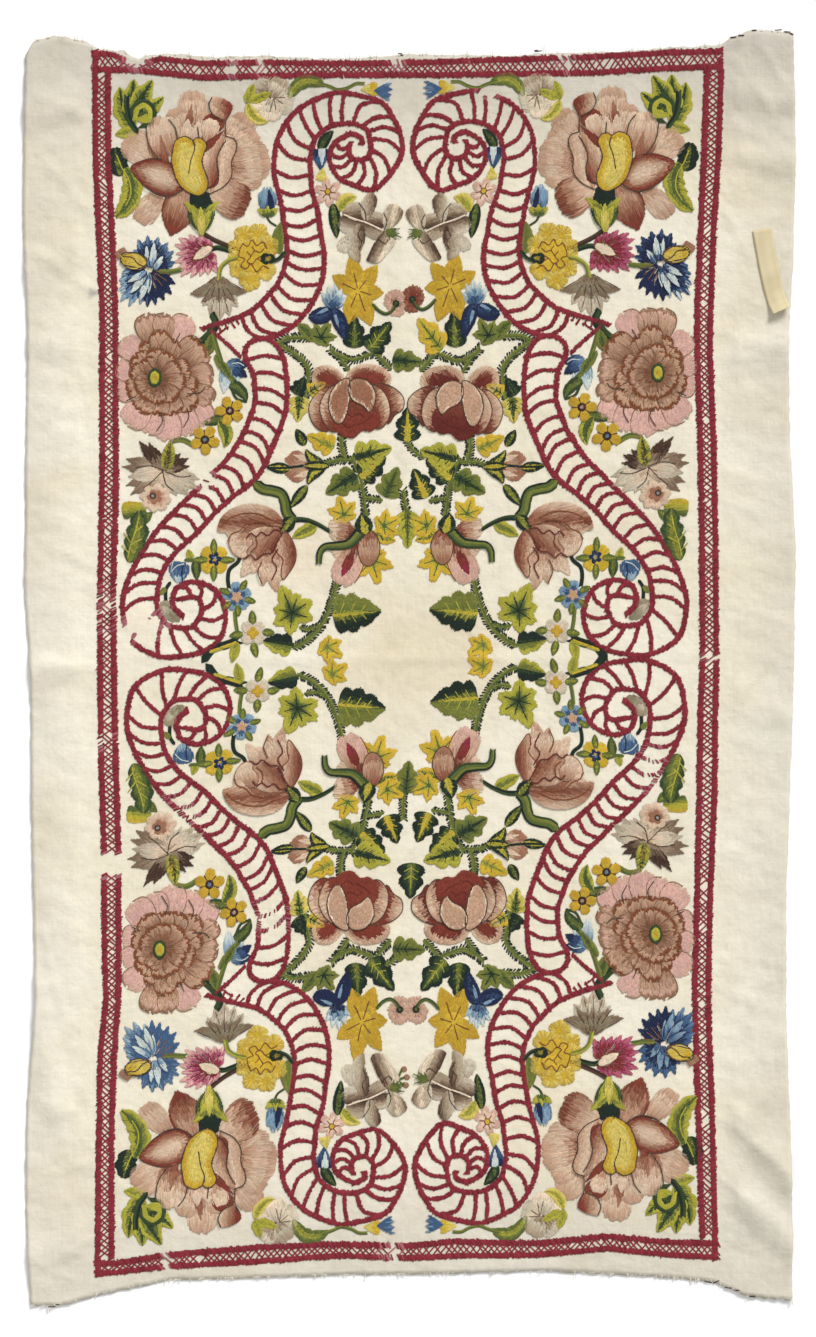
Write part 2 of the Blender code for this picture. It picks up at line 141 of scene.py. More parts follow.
# --- Colours -------------------------------------------------------------------------------------
# Dyed wools, as seen: red, green and blue out of 255
WOOLS = {
    "crimson": (132, 44, 54), "crimson_deep": (112, 34, 44), "crimson_worn": (160, 96, 104),
    "rose_pale": (210, 184, 158), "rose": (186, 150, 124), "rose_tan": (152, 106, 82),
    "russet": (118, 64, 48), "brick": (124, 56, 44), "oxblood": (100, 42, 36),
    "blush": (202, 164, 146), "pink": (208, 166, 154), "magenta": (140, 42, 69), "cerise": (176, 96, 116),
    "shell": (222, 202, 176),
    "gold": (196, 164, 54), "gold_light": (206, 186, 98), "amber": (184, 148, 48), "ochre": (158, 118, 40),
    "lime": (166, 160, 60), "olive": (114, 118, 54), "green": (88, 100, 50), "forest": (54, 70, 42),
    "pine": (32, 44, 36), "navy": (34, 42, 70), "blue": (66, 92, 124), "sky": (124, 150, 168),
    "mist": (196, 204, 198), "stone_pale": (198, 186, 164), "stone": (166, 148, 124),
    "stone_dark": (122, 100, 80), "umber": (80, 60, 48), "bark": (60, 42, 34), "fawn": (150, 112, 88),
    "fawn_dark": (128, 86, 62), "taupe": (136, 126, 100), "rust": (124, 72, 44), "thread": (226, 220, 204),
}
WOOL_NAMES = list(WOOLS)


def linear(colour):
    """Colours out of 255 as seen, turned into linear light."""
    seen = np.asarray(colour, float) / 255
    return np.where(seen <= 0.04045, seen / 12.92, ((seen + 0.055) / 1.055) ** 2.4)


WOOL_LIGHT = linear([WOOLS[name] for name in WOOL_NAMES])

# Runs of colour from a shape's base or heart (0) out to its rim (1)
PALE_PETAL = ((0, "rose"), (0.25, "rose_pale"))
ROSE_PETAL = ((0, "rose_pale"), (0.5, "rose"), (0.85, "rose_tan"))
RUSSET_PETAL = ((0, "rose_pale"), (0.45, "rose"), (0.7, "rose_tan"), (0.86, "russet"))
GOLD_PETAL = ((0, "gold"), (0.8, "amber"))
LIME_LEAF = ((0, "forest"), (0.3, "green"), (0.6, "lime"))
GREEN_LEAF = ((0, "forest"), (0.4, "green"), (0.75, "olive"))
GOLD_LEAF = ((0, "green"), (0.3, "lime"), (0.6, "gold"))
IVY_DARK = ((0, "olive"), (0.3, "forest"), (0.6, "pine"))
IVY_BRIGHT = ((0, "lime"), (0.25, "green"), (0.6, "pine"))
IVY_LIME = ((0, "pine"), (0.3, "forest"), (0.55, "lime"))
DARK_LEAF = ((0, "green"), (0.5, "forest"))

# How a petal or leaf swells: powers of the share from its base and from its tip
FORMS = {"drop": (0.75, 0.35), "oval": (0.5, 0.5), "leaf": (0.6, 0.85), "fan": (1.0, 0.15),
         "bar": (0.15, 0.15), "spear": (0.3, 1.1), "heart": (0.3, 0.75), "scallop": (0.85, 0.24)}

YARN = 1.3                   # width of a laid yarn
PITCH = 1.0                  # from one yarn to the next
YARN_FOOT = 0.15             # the yarn's sides stand this far off the linen
YARN_HEIGHT = 0.62
LEVEL_STEP = 0.28            # each shape lies this much higher than the one under it
LONGEST = 9.0                # a longer stitch would snag


# --- The linen's surface -------------------------------------------------------------------------
def ridge(places, rumple):
    """Height that one rumple gives each place."""
    x0, y0, x1, y1, half_width, height = rumple
    start, run = np.array([x0, y0], float), np.array([x1 - x0, y1 - y0], float)
    share = np.clip(((places - start) @ run) / (run @ run), 0, 1)
    away = np.linalg.norm(places - start - share[:, None] * run, axis=1)
    return np.where(away < half_width, height * np.cos(pi / 2 * np.minimum(away / half_width, 1)) ** 2, 0)


# Slight waves of the worked cloth: (length, heading in degrees, height, start)
WAVES = [(171, 12, 0.10, 0.4), (113, 75, 0.10, 2.1), (61, -38, 0.12, 4.4), (43, 52, 0.10, 1.2), (29, 96, 0.08, 3.3),
         (24, 21, 0.07, 5.1), (21, -64, 0.06, 2.6)]


def sheet_lift(places):
    """How far the sheet's underside stands off the surface."""
    right, down = places[:, 0], places[:, 1]
    outside = np.maximum(np.maximum(FIELD[0] - right, right - FIELD[1]), 0)
    fade = np.minimum(outside / MARGIN_FADE, 1)
    lift = np.max([ridge(places, rumple) for rumple in RUMPLES], axis=0) * fade
    lift += np.max([ridge(places, crease) for crease in CREASES], axis=0)
    lift += np.max([ridge(places, fold) for fold in FOLDS], axis=0)
    for length, heading, height, start in WAVES:
        run = right * cos(radians(heading)) + down * sin(radians(heading))
        lift += height * (1 + 1.5 * fade) * (1 + np.sin(2 * pi * run / length + start))
    return lift


def to_world(places, height):
    """Chart places and heights in mm, in the panel's frame in metres."""
    flat = (places - SHEET_MIDDLE) * (MM, -MM)
    return np.column_stack([flat, height * MM])


def quarter_place(quarter, places):
    """Where places charted in the upper left quarter lie in another quarter."""
    side, rise, column = QUARTERS[quarter]
    away = DESIGN_MIDDLE - places
    if column is not None:
        marks = np.array([row[:2] for row in QUARTER_SHIFTS], float)
        shifts = np.array([row[column] for row in QUARTER_SHIFTS], float)
        weights = (((away[:, None] - marks) ** 2).sum(2) + SHIFT_REACH ** 2) ** -2.0
        away = away + weights @ shifts / weights.sum(1)[:, None]
    return DESIGN_MIDDLE + away * (side, -rise)


# --- Curves on the chart -------------------------------------------------------------------------
def smooth(points, spacing=1.0, closed=False):
    """Evenly spaced places on a soft curve through a few points."""
    points = np.asarray(points, float)
    if closed:
        points = np.vstack([points[-1:], points, points[:2]])
    else:
        points = np.vstack([2 * points[:1] - points[1:2], points, 2 * points[-1:] - points[-2:-1]])
    share = np.linspace(0, 1, 12, endpoint=False)[:, None]
    before, here, there, after = (points[i:len(points) - 3 + i][:, None] for i in range(4))
    curve = 0.5 * (2 * here + (there - before) * share + (2 * before - 5 * here + 4 * there - after) * share ** 2
                   + (3 * here - before - 3 * there + after) * share ** 3)
    curve = np.vstack([curve.reshape(-1, 2), points[-2:-1]])
    return even(curve, spacing)


def even(curve, spacing):
    """The same line, with places an even spacing apart."""
    run = np.concatenate([[0], np.cumsum(np.linalg.norm(np.diff(curve, axis=0), axis=1))])
    count = max(int(round(run[-1] / spacing)), 1) + 1
    where = np.linspace(0, run[-1], count)
    return np.column_stack([np.interp(where, run, curve[:, i]) for i in (0, 1)])


def headings(line):
    """The unit direction of a line at each of its places."""
    direction = np.gradient(line, axis=0)
    return direction / np.maximum(np.linalg.norm(direction, axis=1), 1e-9)[:, None]


def turned(direction):
    """A direction turned a quarter turn clockwise, as seen on the chart."""
    return np.column_stack([-direction[:, 1], direction[:, 0]])


class Spine:
    """The middle line of a petal or leaf, with its half width at each share from base to tip."""

    def __init__(self, base, tip, half, bend, form):
        self.base, run = np.array(base, float), np.array(tip, float) - base
        self.run, self.length = run, hypot(*run)
        self.normal = np.array([-run[1], run[0]]) / self.length
        self.bend, self.half = bend, half
        rise, fall = FORMS[form]
        top = rise / (rise + fall)
        self.powers = rise, fall, top ** rise * (1 - top) ** fall

    def at(self, share):
        share = np.asarray(share)[:, None]
        return self.base + self.run * share + self.normal * self.bend * 4 * share * (1 - share)

    def across(self, share):
        slope = self.run + self.normal * (self.bend * 4 * (1 - 2 * np.asarray(share)))[:, None]
        return turned(slope) / np.linalg.norm(slope, axis=1)[:, None]

    def swell(self, share):
        rise, fall, most = self.powers
        share = np.clip(share, 0, 1)
        return share ** rise * (1 - share) ** fall / most


class Needle:
    """Lays the stitches of one worked piece, on the chart."""

    def __init__(self, seed, quarter=""):
        self.random = np.random.default_rng(seed)
        self.quarter = quarter
        self.rows = []
        self.order, self.key = 0, 0.0

    def lay(self, starts, ends, wool, level=1, width=YARN):
        """Stitches from starts to ends. wool is a name, an index into WOOL_NAMES for each, or for each an
        index, a second index and the second wool's share."""
        starts, ends = np.atleast_2d(starts), np.atleast_2d(ends)
        if isinstance(wool, str):
            wool = np.full(len(starts), WOOL_NAMES.index(wool))
        if wool.ndim == 1:
            wool = np.column_stack([wool, wool, np.zeros(len(wool))])
        key = max(self.key, (level - 0.15) * 1e4)
        same = np.ones((len(starts), 1))
        self.rows.append(np.hstack([starts, ends, wool[:, :1], level * same, width * same, wool[:, 1:], key * same]))

    def picks(self, share, bands, soft=0.10):
        """The wools for each share, each band shading into the next."""
        share = share + self.random.normal(0, soft / 2, len(share))
        limits = np.array([limit for limit, _ in bands] + [1.0])
        names = np.array([WOOL_NAMES.index(name) for _, name in bands])
        spot = np.clip(np.searchsorted(limits[:-1], share, "right") - 1, 0, len(bands) - 1)
        mix = np.clip((share - limits[spot]) / (limits[spot + 1] - limits[spot]), 0, 1)
        return np.column_stack([names[spot], names[np.minimum(spot + 1, len(bands) - 1)], mix])

    def run(self, line, wool, level=1, width=YARN, length=4.0):
        """A line of stitches end to end. line is the curve's places."""
        kept = self.key
        self.begin(level)
        line = even(np.asarray(line, float), length)
        starts, ends = line[:-1], line[1:]
        lap = (ends - starts) * 0.12
        self.lay(starts - lap, ends + lap, wool, level, width)
        self.key = kept

    def line(self, points, wool="bark", level=4, width=1.25, length=3.5):
        self.run(smooth(points), wool, level, width, length)

    def petal(self, base, tip, half, bands, bend=0.0, form="drop", level=1, rim=None, lean=(1, 1), teeth=0,
              depth=0.2, edge=0.0, tips=None):
        """Long and short stitches from a petal's base to its tip.

        The sides take the tip's wools too where edge is near 1. tips is the wool of short stitches at the rim."""
        self.begin(level)
        spine = Spine(base, tip, half, bend, form)
        count = max(int((lean[0] + lean[1]) * half / PITCH), 3)
        grid = np.linspace(0, 1, 61)
        swell = spine.swell(grid)
        ragged = max(0.022, 0.7 / spine.length)
        starts, ends, shares = [], [], []
        for i in range(count):
            place = (i + 0.5) / count * (lean[0] + lean[1]) - lean[0]
            side = lean[0] if place < 0 else lean[1]
            inside = grid[np.sqrt(swell) >= min(abs(place) / side, 0.97)]
            first, last = inside[0], inside[-1]
            if teeth:
                last -= depth * abs((i / count * teeth + 0.5) % 1 * 2 - 1)
            steps = max(ceil((last - first) * spine.length / LONGEST), 2)
            cuts = first + (last - first) * np.linspace(0, 1, steps + 1)
            cuts[1:-1] += self.random.uniform(-0.3, 0.3, steps - 1) * (last - first) / steps
            cuts[0], cuts[-1] = first - 0.01, last + self.random.uniform(-ragged, ragged)
            if tips:
                cuts = np.append(cuts[:-1], [last - self.random.uniform(1.5, 4.0) / spine.length, cuts[-1]])
            inner = np.clip(cuts[:-1] - 0.02, 0, 1)
            outer = np.clip(cuts[1:] + 0.02, 0, 1.03)
            for share, into in ((inner, starts), (outer, ends)):
                spread = place * half * np.sqrt(spine.swell(np.clip(share, 0.02, 0.98)))
                into.append(spine.at(share) + spine.across(share) * spread[:, None])
            shares.append(np.maximum((inner + outer) / 2, edge * abs(place / side) ** 2.5))
        wool = self.picks(np.concatenate(shares), bands, 0.14)
        if tips:
            last = np.cumsum([len(share) for share in shares]) - 1
            wool[last] = [WOOL_NAMES.index(tips), WOOL_NAMES.index(tips), 0]
        self.lay(np.vstack(starts), np.vstack(ends), wool, level)
        if rim:
            self.rim(spine, rim, level, lean)

    def rim(self, spine, rim, level, lean):
        """A dark line round a shape. rim is a wool, or (wool, side), left and right as seen to the tip."""
        wool, side = (rim, "both") if isinstance(rim, str) else rim
        share = np.linspace(0.0, 1.0, 40)
        for name, sign, reach in (("left", -1, lean[0]), ("right", 1, lean[1])):
            if side in (name, "both"):
                out = spine.half * reach * spine.swell(share)
                self.run(spine.at(share) + spine.across(share) * (sign * out)[:, None], wool, level + 0.6, 1.2, 3.0)

    def leaf(self, base, tip, half, bands, bend=0.0, form="leaf", level=1, rim=None, lean=(1, 1), lobes=0,
             depth=0.25, slant=0.7):
        """Slanted stitches from a leaf's middle line out to its rim, which may be lobed."""
        self.begin(level)
        spine = Spine(base, tip, half, bend, form)
        fine = np.linspace(0, 1, 121)

        def outside(share, side):
            """The rim's share along the spine and its distance from it, for stitches that start at share."""
            swell = spine.swell(share)
            ahead = np.minimum(share + slant * half * swell / spine.length, 1.0)
            reach = half * side * spine.swell(np.clip(ahead, 0, 0.985))
            if lobes:
                reach = reach * (1 - depth * (1 - np.abs(np.sin(pi * lobes * ahead))))
            return ahead, reach

        for sign, side in ((-1, lean[0]), (1, lean[1])):
            ahead, reach = outside(fine, side)
            edge = spine.at(ahead) + spine.across(ahead) * (sign * reach)[:, None]
            inner = spine.at(fine)
            gaps = np.maximum(np.linalg.norm(np.diff(edge, axis=0), axis=1),
                              np.linalg.norm(np.diff(inner, axis=0), axis=1) * 0.8)
            run = np.concatenate([[0], np.cumsum(gaps)])
            count = max(int(run[-1] / PITCH), 3)
            share = np.interp((np.arange(count) + 0.5) / count * run[-1], run, fine)
            ahead, reach = outside(share, side)
            heart = spine.at(share)
            edge = spine.at(ahead) + spine.across(ahead) * (sign * reach)[:, None]
            self.spokes(heart, edge, bands, level)
            if rim:
                self.run(edge, rim, level + 0.6, 1.2, 3.0)

    def spokes(self, hearts, edges, bands, level):
        """Long and short stitches from hearts to edges."""
        reach, run = np.linalg.norm(edges - hearts, axis=1), edges - hearts
        rings = max(int(round(reach.max() / 5.0)), 2 if len(bands) > 1 else 1)
        for i in range(rings):
            start, end = (np.full(len(hearts), n / rings) for n in (i, i + 1))
            if i:
                start -= self.random.uniform(0.05, 0.45, len(hearts)) / rings
            end += self.random.uniform(-0.3, 0.35, len(hearts)) / rings if i + 1 < rings else \
                self.random.uniform(-0.05, 0.04, len(hearts))
            keep = (end - start) * reach > 0.7
            self.lay((hearts + run * start[:, None])[keep], (hearts + run * end[:, None])[keep],
                     self.picks((i + 0.55) / rings + np.zeros(keep.sum()), bands, 0.5 / rings), level + 0.1 * (i % 2))

    def bloom(self, centre, bands, lobes=(), core=4.0, level=1, turn=0.0, squash=(1, 1), rim=None, saw=(0, 0),
              veins=None):
        """Stitches out from a middle, to a rim with lobes: (heading, reach, spread, roundness).

        saw gives the rim small teeth: (how many, how deep). veins is the wool of a line along each lobe."""
        self.begin(level)
        heading = np.radians(np.arange(0, 360, 1.0))
        reach = np.full(len(heading), float(core))
        for at, far, spread, roundness in lobes:
            away = np.abs((np.degrees(heading) - at + 180) % 360 - 180) / spread
            bump = core + (far - core) * (1 - np.minimum(away, 1) ** roundness)
            reach = np.where(away < 1, np.maximum(reach, bump), reach)
        if saw[0]:
            reach = reach * (1 - saw[1] * np.abs((heading / (2 * pi) * saw[0]) % 1 * 2 - 1))
        heading = heading + radians(turn)
        rim_line = np.column_stack([np.cos(heading) * reach * squash[0], np.sin(heading) * reach * squash[1]])
        rim_line = np.vstack([rim_line, rim_line[:1]]) + centre
        places = even(rim_line, PITCH)[:-1]
        middle = np.array(centre, float)
        rings = max(int(round(reach.max() / 5.0)), 2 if len(bands) > 1 else 1)
        for i in range(rings):
            count = max(int(len(places) * min((i + 1) / rings + 0.05, 1)), 5)
            run = places[(np.arange(count) * len(places) / count).astype(int)] - middle
            start, end = (np.full(count, n / rings) for n in (i, i + 1))
            if i:
                start -= self.random.uniform(0.05, 0.5, count) / rings
            end += self.random.uniform(-0.25, 0.4, count) / rings if i + 1 < rings else \
                self.random.uniform(-0.05, 0.04, count)
            keep = (end - start) * np.linalg.norm(run, axis=1) > 0.6
            self.lay((middle + run * start[:, None])[keep], (middle + run * end[:, None])[keep],
                     self.picks((i + 0.55) / rings + np.zeros(keep.sum()), bands, 0.4 / rings), level + 0.1 * (i % 2))
        if veins:
            for at, far, spread, roundness in lobes:
                turned_by = radians(at + turn)
                tip = middle + np.array([cos(turned_by) * squash[0], sin(turned_by) * squash[1]]) * far * 0.66
                if far > core * 1.15:
                    self.run([middle, tip], veins, level + 0.8, 1.3, 3.5)
        if rim:
            self.run(rim_line, rim, level + 0.6, 1.2, 3.0)

    def flower(self, centre, radius, petals, bands, turn=0.0, core=0.45, roundness=2.2, level=1, squash=(1, 1),
               rim=None, gap=0.96):
        """A round bloom with even petals."""
        spread = 180 / petals * gap
        lobes = [(360 / petals * i, radius, spread, roundness) for i in range(petals)]
        self.bloom(centre, bands, lobes, core * radius, level, turn, squash, rim)

    def patch(self, outline, heading, bands, level=1, toward=None, depth=None, rim=None, length=6.0, closed=True):
        """Even stitches at one heading inside an outline.

        The wool follows how far a stitch lies in the direction toward (degrees), or how near the rim, where
        depth is given (1 at the rim and 0 from depth inwards)."""
        self.begin(level)
        edge = smooth(outline, 1.0, True)
        turn = radians(heading)
        axes = np.array([[cos(turn), sin(turn)], [-sin(turn), cos(turn)]])
        flat = edge @ axes.T
        starts, ends = [], []
        rows = np.arange(flat[:, 1].min() + PITCH / 2, flat[:, 1].max(), PITCH)
        for row in rows:
            a, b = flat[:-1], flat[1:]
            crossing = (a[:, 1] - row) * (b[:, 1] - row) < 0
            a, b = a[crossing], b[crossing]
            hits = np.sort(a[:, 0] + (b[:, 0] - a[:, 0]) * (row - a[:, 1]) / (b[:, 1] - a[:, 1]))
            for low, high in zip(hits[::2], hits[1::2]):
                if high - low < 0.8:
                    continue
                steps = max(int(round((high - low) / length)), 1)
                cuts = np.linspace(low, high, steps + 1)
                cuts[1:-1] += self.random.uniform(-0.35, 0.35, steps - 1) * (high - low) / steps
                cuts[0] -= self.random.uniform(-0.3, 0.5)
                cuts[-1] += self.random.uniform(-0.3, 0.5)
                starts.append(np.column_stack([cuts[:-1] - 0.25, np.full(steps, row)]))
                ends.append(np.column_stack([cuts[1:] + 0.25, np.full(steps, row)]))
        starts, ends = np.vstack(starts) @ axes, np.vstack(ends) @ axes
        middle = (starts + ends) / 2
        if depth is not None:
            near = np.sqrt(((middle[:, None] - edge[None, ::2]) ** 2).sum(2)).min(1)
            share = 1 - np.minimum(near / depth, 1)
        else:
            toward = heading if toward is None else toward
            along = np.array([cos(radians(toward)), sin(radians(toward))])
            reach = edge @ along
            share = (middle @ along - reach.min()) / (reach.max() - reach.min())
        self.lay(starts, ends, self.picks(share, bands), level)
        if rim:
            self.run(edge, rim, level + 0.6, 1.2, 3.0)

    def stem(self, points, width, left, right=None, level=0.5, taper=1.0):
        """A stem of slanted stitches to both sides of its line, left and right as seen along it."""
        self.begin(level)
        line = smooth(points, 1.1)
        ahead = headings(line)
        out = turned(ahead)
        half = width / 2 * (1 - (1 - taper) * np.linspace(0, 1, len(line)))
        for sign, wool in ((-1, left), (1, right or left)):
            starts = line - ahead * (half * 0.9)[:, None] - out * (0.25 * sign)
            ends = line + ahead * (half * 0.5)[:, None] + out * (sign * half)[:, None]
            self.lay(starts, ends, wool, level)

    def thorns(self, points, width, length=4.6, spacing=2.7, lean=-0.7, level=0.4):
        """Slanted two-toned barbs from a stem's middle out past both of its sides. lean is -1 back to 1 forward."""
        self.begin(level)
        line = smooth(points, spacing)
        ahead = headings(line)
        out = turned(ahead)
        count = len(line)
        for sign in (-1, 1):
            size = length * self.random.uniform(0.8, 1.25, count)[:, None]
            shift = ahead * (self.random.uniform(-0.5, 0.5, count)[:, None] + spacing * 0.25 * sign)
            away = out * sign * (width / 2 + size * 0.42) + ahead * lean * size * 1.1
            starts = line + shift
            self.lay(starts + away * 0.5, starts + away * 1.12, "pine", level, 1.9)
            names = np.array([WOOL_NAMES.index(name) for name in ("olive", "green", "forest")])
            self.lay(starts, starts + away * 0.68, names[self.random.choice(3, count, p=(0.5, 0.35, 0.15))],
                     level + 0.1, 2.2)

    def thorny(self, points, width=4.5, left="olive", right="green", level=0.5, lean=-0.6):
        self.stem(points, width * 0.5, left, right, level + 0.1)
        self.thorns(points, width * 0.8, lean=lean, level=level)

    def rail(self, points, width=4.4, wool="crimson", level=1, soft=True):
        """A solid line of slanted stitches laid side by side across it."""
        self.begin(level)
        line = smooth(points, 1.1) if soft else even(np.asarray(points, float), 1.1)
        ahead = headings(line)
        out = turned(ahead)
        count = len(line)
        half = (width / 2 * self.random.normal(1.04, 0.15, count).clip(0.7, 1.45))[:, None]
        sway = out * self.random.normal(0, 0.24, count)[:, None]
        starts = line + sway - out * half - ahead * half * 0.45
        ends = line + sway + out * half + ahead * half * 0.45
        deep = self.random.random(count) < 0.3
        names = np.where(deep, WOOL_NAMES.index("crimson_deep"), WOOL_NAMES.index(wool))
        self.lay(starts, ends, names, level, 1.6)

    def stitches(self):
        return np.vstack(self.rows)

    def spade(self, centre, heading, size, bands, level=1, veins="pine", narrow=1.0, bend=0.0, pairs=2):
        """A scalloped leaf with its tip at a heading."""
        way = np.array([cos(radians(heading)), sin(radians(heading))])
        base, tip = np.array(centre) - way * size * 0.6, np.array(centre) + way * size * 1.02
        half = size * 0.66 * narrow
        self.leaf(base, tip, half, bands, bend, "heart", level, lobes=2.6, depth=0.36)
        if veins:
            self.veins(base, tip, half, veins, bend, level + 0.8, pairs)

    def maple(self, centre, heading, size, bands, level=1, veins="forest", narrow=1.0):
        """A leaf with pointed lobes, its longest at a heading."""
        lobes = [(0, size * 1.05, 36 * narrow, 1.1), (56, size * 0.9, 34, 1.1), (-56, size * 0.9, 34, 1.1),
                 (108, size * 0.66, 34, 1.2), (-108, size * 0.66, 34, 1.2), (170, size * 0.45, 40, 2)]
        self.bloom(centre, bands, lobes, size * 0.44, level, heading, veins=veins, saw=(23, 0.10))

    def veins(self, base, tip, half, wool, bend=0.0, level=2, pairs=2):
        """A line up the middle of a leaf, and pairs of lines out from it."""
        self.begin(level)
        spine = Spine(base, tip, half, bend, "heart")
        self.run(spine.at(np.linspace(0.08, 0.72, 20)), wool, level, 1.2, 3.0)
        for pair in range(pairs):
            root, reach = np.array([0.14 + 0.22 * pair]), np.array([0.25 + 0.22 * pair])
            out = 0.5 * half * spine.swell(reach)[:, None]
            for sign in (-1, 1):
                self.lay(spine.at(root), spine.at(reach) + spine.across(reach) * sign * out, wool, level, 1.1)

    def begin(self, level):
        """The next shape. It covers the shapes of lower levels, and the earlier ones of its own."""
        self.order += 1
        self.key = level * 1e4 + self.order


# --- Meshes --------------------------------------------------------------------------------------
def make_mesh(name, places, faces, colours=None):
    """A smooth mesh with a flat map over its own box. places in metres, faces of three or four corners."""
    mesh = bpy.data.meshes.new(name)
    mesh.from_pydata(places.tolist(), [], faces)
    mesh.polygons.foreach_set("use_smooth", np.ones(len(mesh.polygons), bool))
    if colours is not None:
        layer = mesh.color_attributes.new("wool", "FLOAT_COLOR", "POINT")
        layer.data.foreach_set("color", np.column_stack([colours, np.ones(len(colours))]).ravel())
    corners = np.zeros(len(mesh.loops), int)
    mesh.loops.foreach_get("vertex_index", corners)
    low = places[:, :2].min(0)
    spread = (places[:, :2].max(0) - low).max()
    flat = mesh.uv_layers.new(name="OFBake")
    flat.data.foreach_set("uv", ((places[corners, :2] - low) / spread).ravel())
    mesh.update()
    return mesh


def add_piece(name, mesh, finish, replaced=()):
    piece = bpy.data.objects.new(name, mesh)
    bpy.context.scene.collection.objects.link(piece)
    mesh.materials.append(finish)
    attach(piece, "root")
    if replaced:
        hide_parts(*replaced)
    return piece


STITCH_FACES = np.array([[0, 1, 2, 2], [1, 4, 5, 2], [3, 0, 2, 5], [4, 3, 5, 5]])


def stitch_mesh(name, rows, random, place=None):
    """All stitches of a piece as one mesh, from rows that a Needle has laid, with painted shade at each yarn's sides
    and ends.
    """
    starts, ends = rows[:, 0:2], rows[:, 2:4]
    if place:
        starts, ends = place(starts), place(ends)
    wool, level, width, other, mix = rows[:, 4].astype(int), rows[:, 5], rows[:, 6], rows[:, 7].astype(int), rows[:, 8:9]
    run = ends - starts
    length = np.maximum(np.linalg.norm(run, axis=1), 0.3)
    out = np.column_stack([-run[:, 1], run[:, 0]]) / length[:, None] * (width / 2)[:, None]
    shoulder = np.clip(0.9 / length, 0.1, 0.4)[:, None]
    near, far = starts + run * shoulder, ends - run * shoulder
    flat = np.stack([starts - out * 0.85, starts + out * 0.85, near, ends - out * 0.85, ends + out * 0.85, far], 1)
    rise = np.array([0, 0, 1, 0, 0, 1]) * YARN_HEIGHT + YARN_FOOT
    ground = sheet_lift(flat.reshape(-1, 2)).reshape(-1, 6) + SHEET_THICKNESS
    wander = random.uniform(0, 0.08, len(rows))[:, None]
    height = ground + rise + (level * LEVEL_STEP)[:, None] + wander
    places = to_world(flat.reshape(-1, 2), height.ravel())
    dye = WOOL_LIGHT[wool] * (1 - mix) + WOOL_LIGHT[other] * mix
    shade = dye * random.normal(1, 0.065, len(rows)).clip(0.75, 1.25)[:, None]
    shade = shade * random.normal(1, 0.02, shade.shape)
    # Painted shade: each yarn's sides and ends are darkened against its crest
    depth = np.array([0.8, 0.8, 1.04, 0.8, 0.8, 1.04])
    colours = (shade[:, None, :] * depth[None, :, None]).reshape(-1, 3).clip(0, 1)
    faces = (STITCH_FACES[None] + (np.arange(len(rows)) * 6)[:, None, None]).reshape(-1, 4)
    flipped = place is not None and np.linalg.det(place_turn(place)) < 0
    corners = [tuple(dict.fromkeys(face))[::1 if not flipped else -1] for face in faces.tolist()]
    return make_mesh(name, places, corners, colours)


def place_turn(place):
    """Whether a placing mirrors the chart."""
    probe = place(np.array([[250.0, 400.0], [251.0, 400.0], [250.0, 401.0]]))
    return np.array([probe[1] - probe[0], probe[2] - probe[0]])


def thinned(rows):
    """The rows without the stitches, and the parts of stitches, that shapes worked over them hide."""
    rows = rows.copy()
    low = np.floor(rows[:, :4].reshape(-1, 2).min(0)) - 3
    size = np.ceil(rows[:, :4].reshape(-1, 2).max(0)) - low + 4
    covered = np.zeros((size * 2).astype(int), bool)
    keep = np.ones(len(rows), bool)
    share = np.linspace(0.02, 0.98, 13)
    fine = np.linspace(0, 1, 25)[:, None]
    for key in np.unique(rows[:, 9])[::-1]:
        chosen = np.flatnonzero(rows[:, 9] == key)
        starts, run = rows[chosen, 0:2], rows[chosen, 2:4] - rows[chosen, 0:2]
        length = np.maximum(np.linalg.norm(run, axis=1), 0.3)
        spots = ((starts[:, None] + run[:, None] * share[:, None] - low) * 2).astype(int)
        seen = ~covered[spots[..., 0], spots[..., 1]]
        padded = np.pad(seen, ((0, 0), (1, 1)), "edge").astype(int)
        seen = padded[:, :-2] + padded[:, 1:-1] + padded[:, 2:] >= 2
        keep[chosen] = seen.mean(1) > 0.09
        first, last = seen.argmax(1), len(share) - 1 - seen[:, ::-1].argmax(1)
        tuck = 0.9 / length + 0.04
        start = np.where(first > 0, np.maximum(share[first] - tuck, 0), 0)[:, None]
        end = np.where(last < len(share) - 1, np.minimum(share[last] + tuck, 1), 1)[:, None]
        rows[chosen, 0:2], rows[chosen, 2:4] = starts + run * start, starts + run * end
        across = np.column_stack([-run[:, 1], run[:, 0]]) / length[:, None]
        for out in (-0.35, 0.0, 0.35):
            spots = ((starts + across * out)[:, None] + run[:, None] * fine - low) * 2
            spots = spots.astype(int).reshape(-1, 2)
            covered[spots[:, 0], spots[:, 1]] = True
    return rows[keep]


# --- Finishes ------------------------------------------------------------------------------------
class Nodes:
    """Short ways to add nodes to one finish."""

    def __init__(self, name):
        self.finish = bpy.data.materials.new(name)
        self.finish.use_nodes = True
        self.tree = self.finish.node_tree
        self.shader = self.tree.nodes["Principled BSDF"]

    def add(self, kind, settings=(), **inputs):
        node = self.tree.nodes.new(kind)
        for key, value in dict(settings).items():
            setattr(node, key, value)
        for key, value in inputs.items():
            socket = node.inputs[int(key[1:])] if key[0] == "_" else node.inputs[key]
            if isinstance(value, bpy.types.NodeSocket):
                self.tree.links.new(value, socket)
            else:
                socket.default_value = value
        return node

    def link(self, output, key):
        self.tree.links.new(output, self.shader.inputs[key])


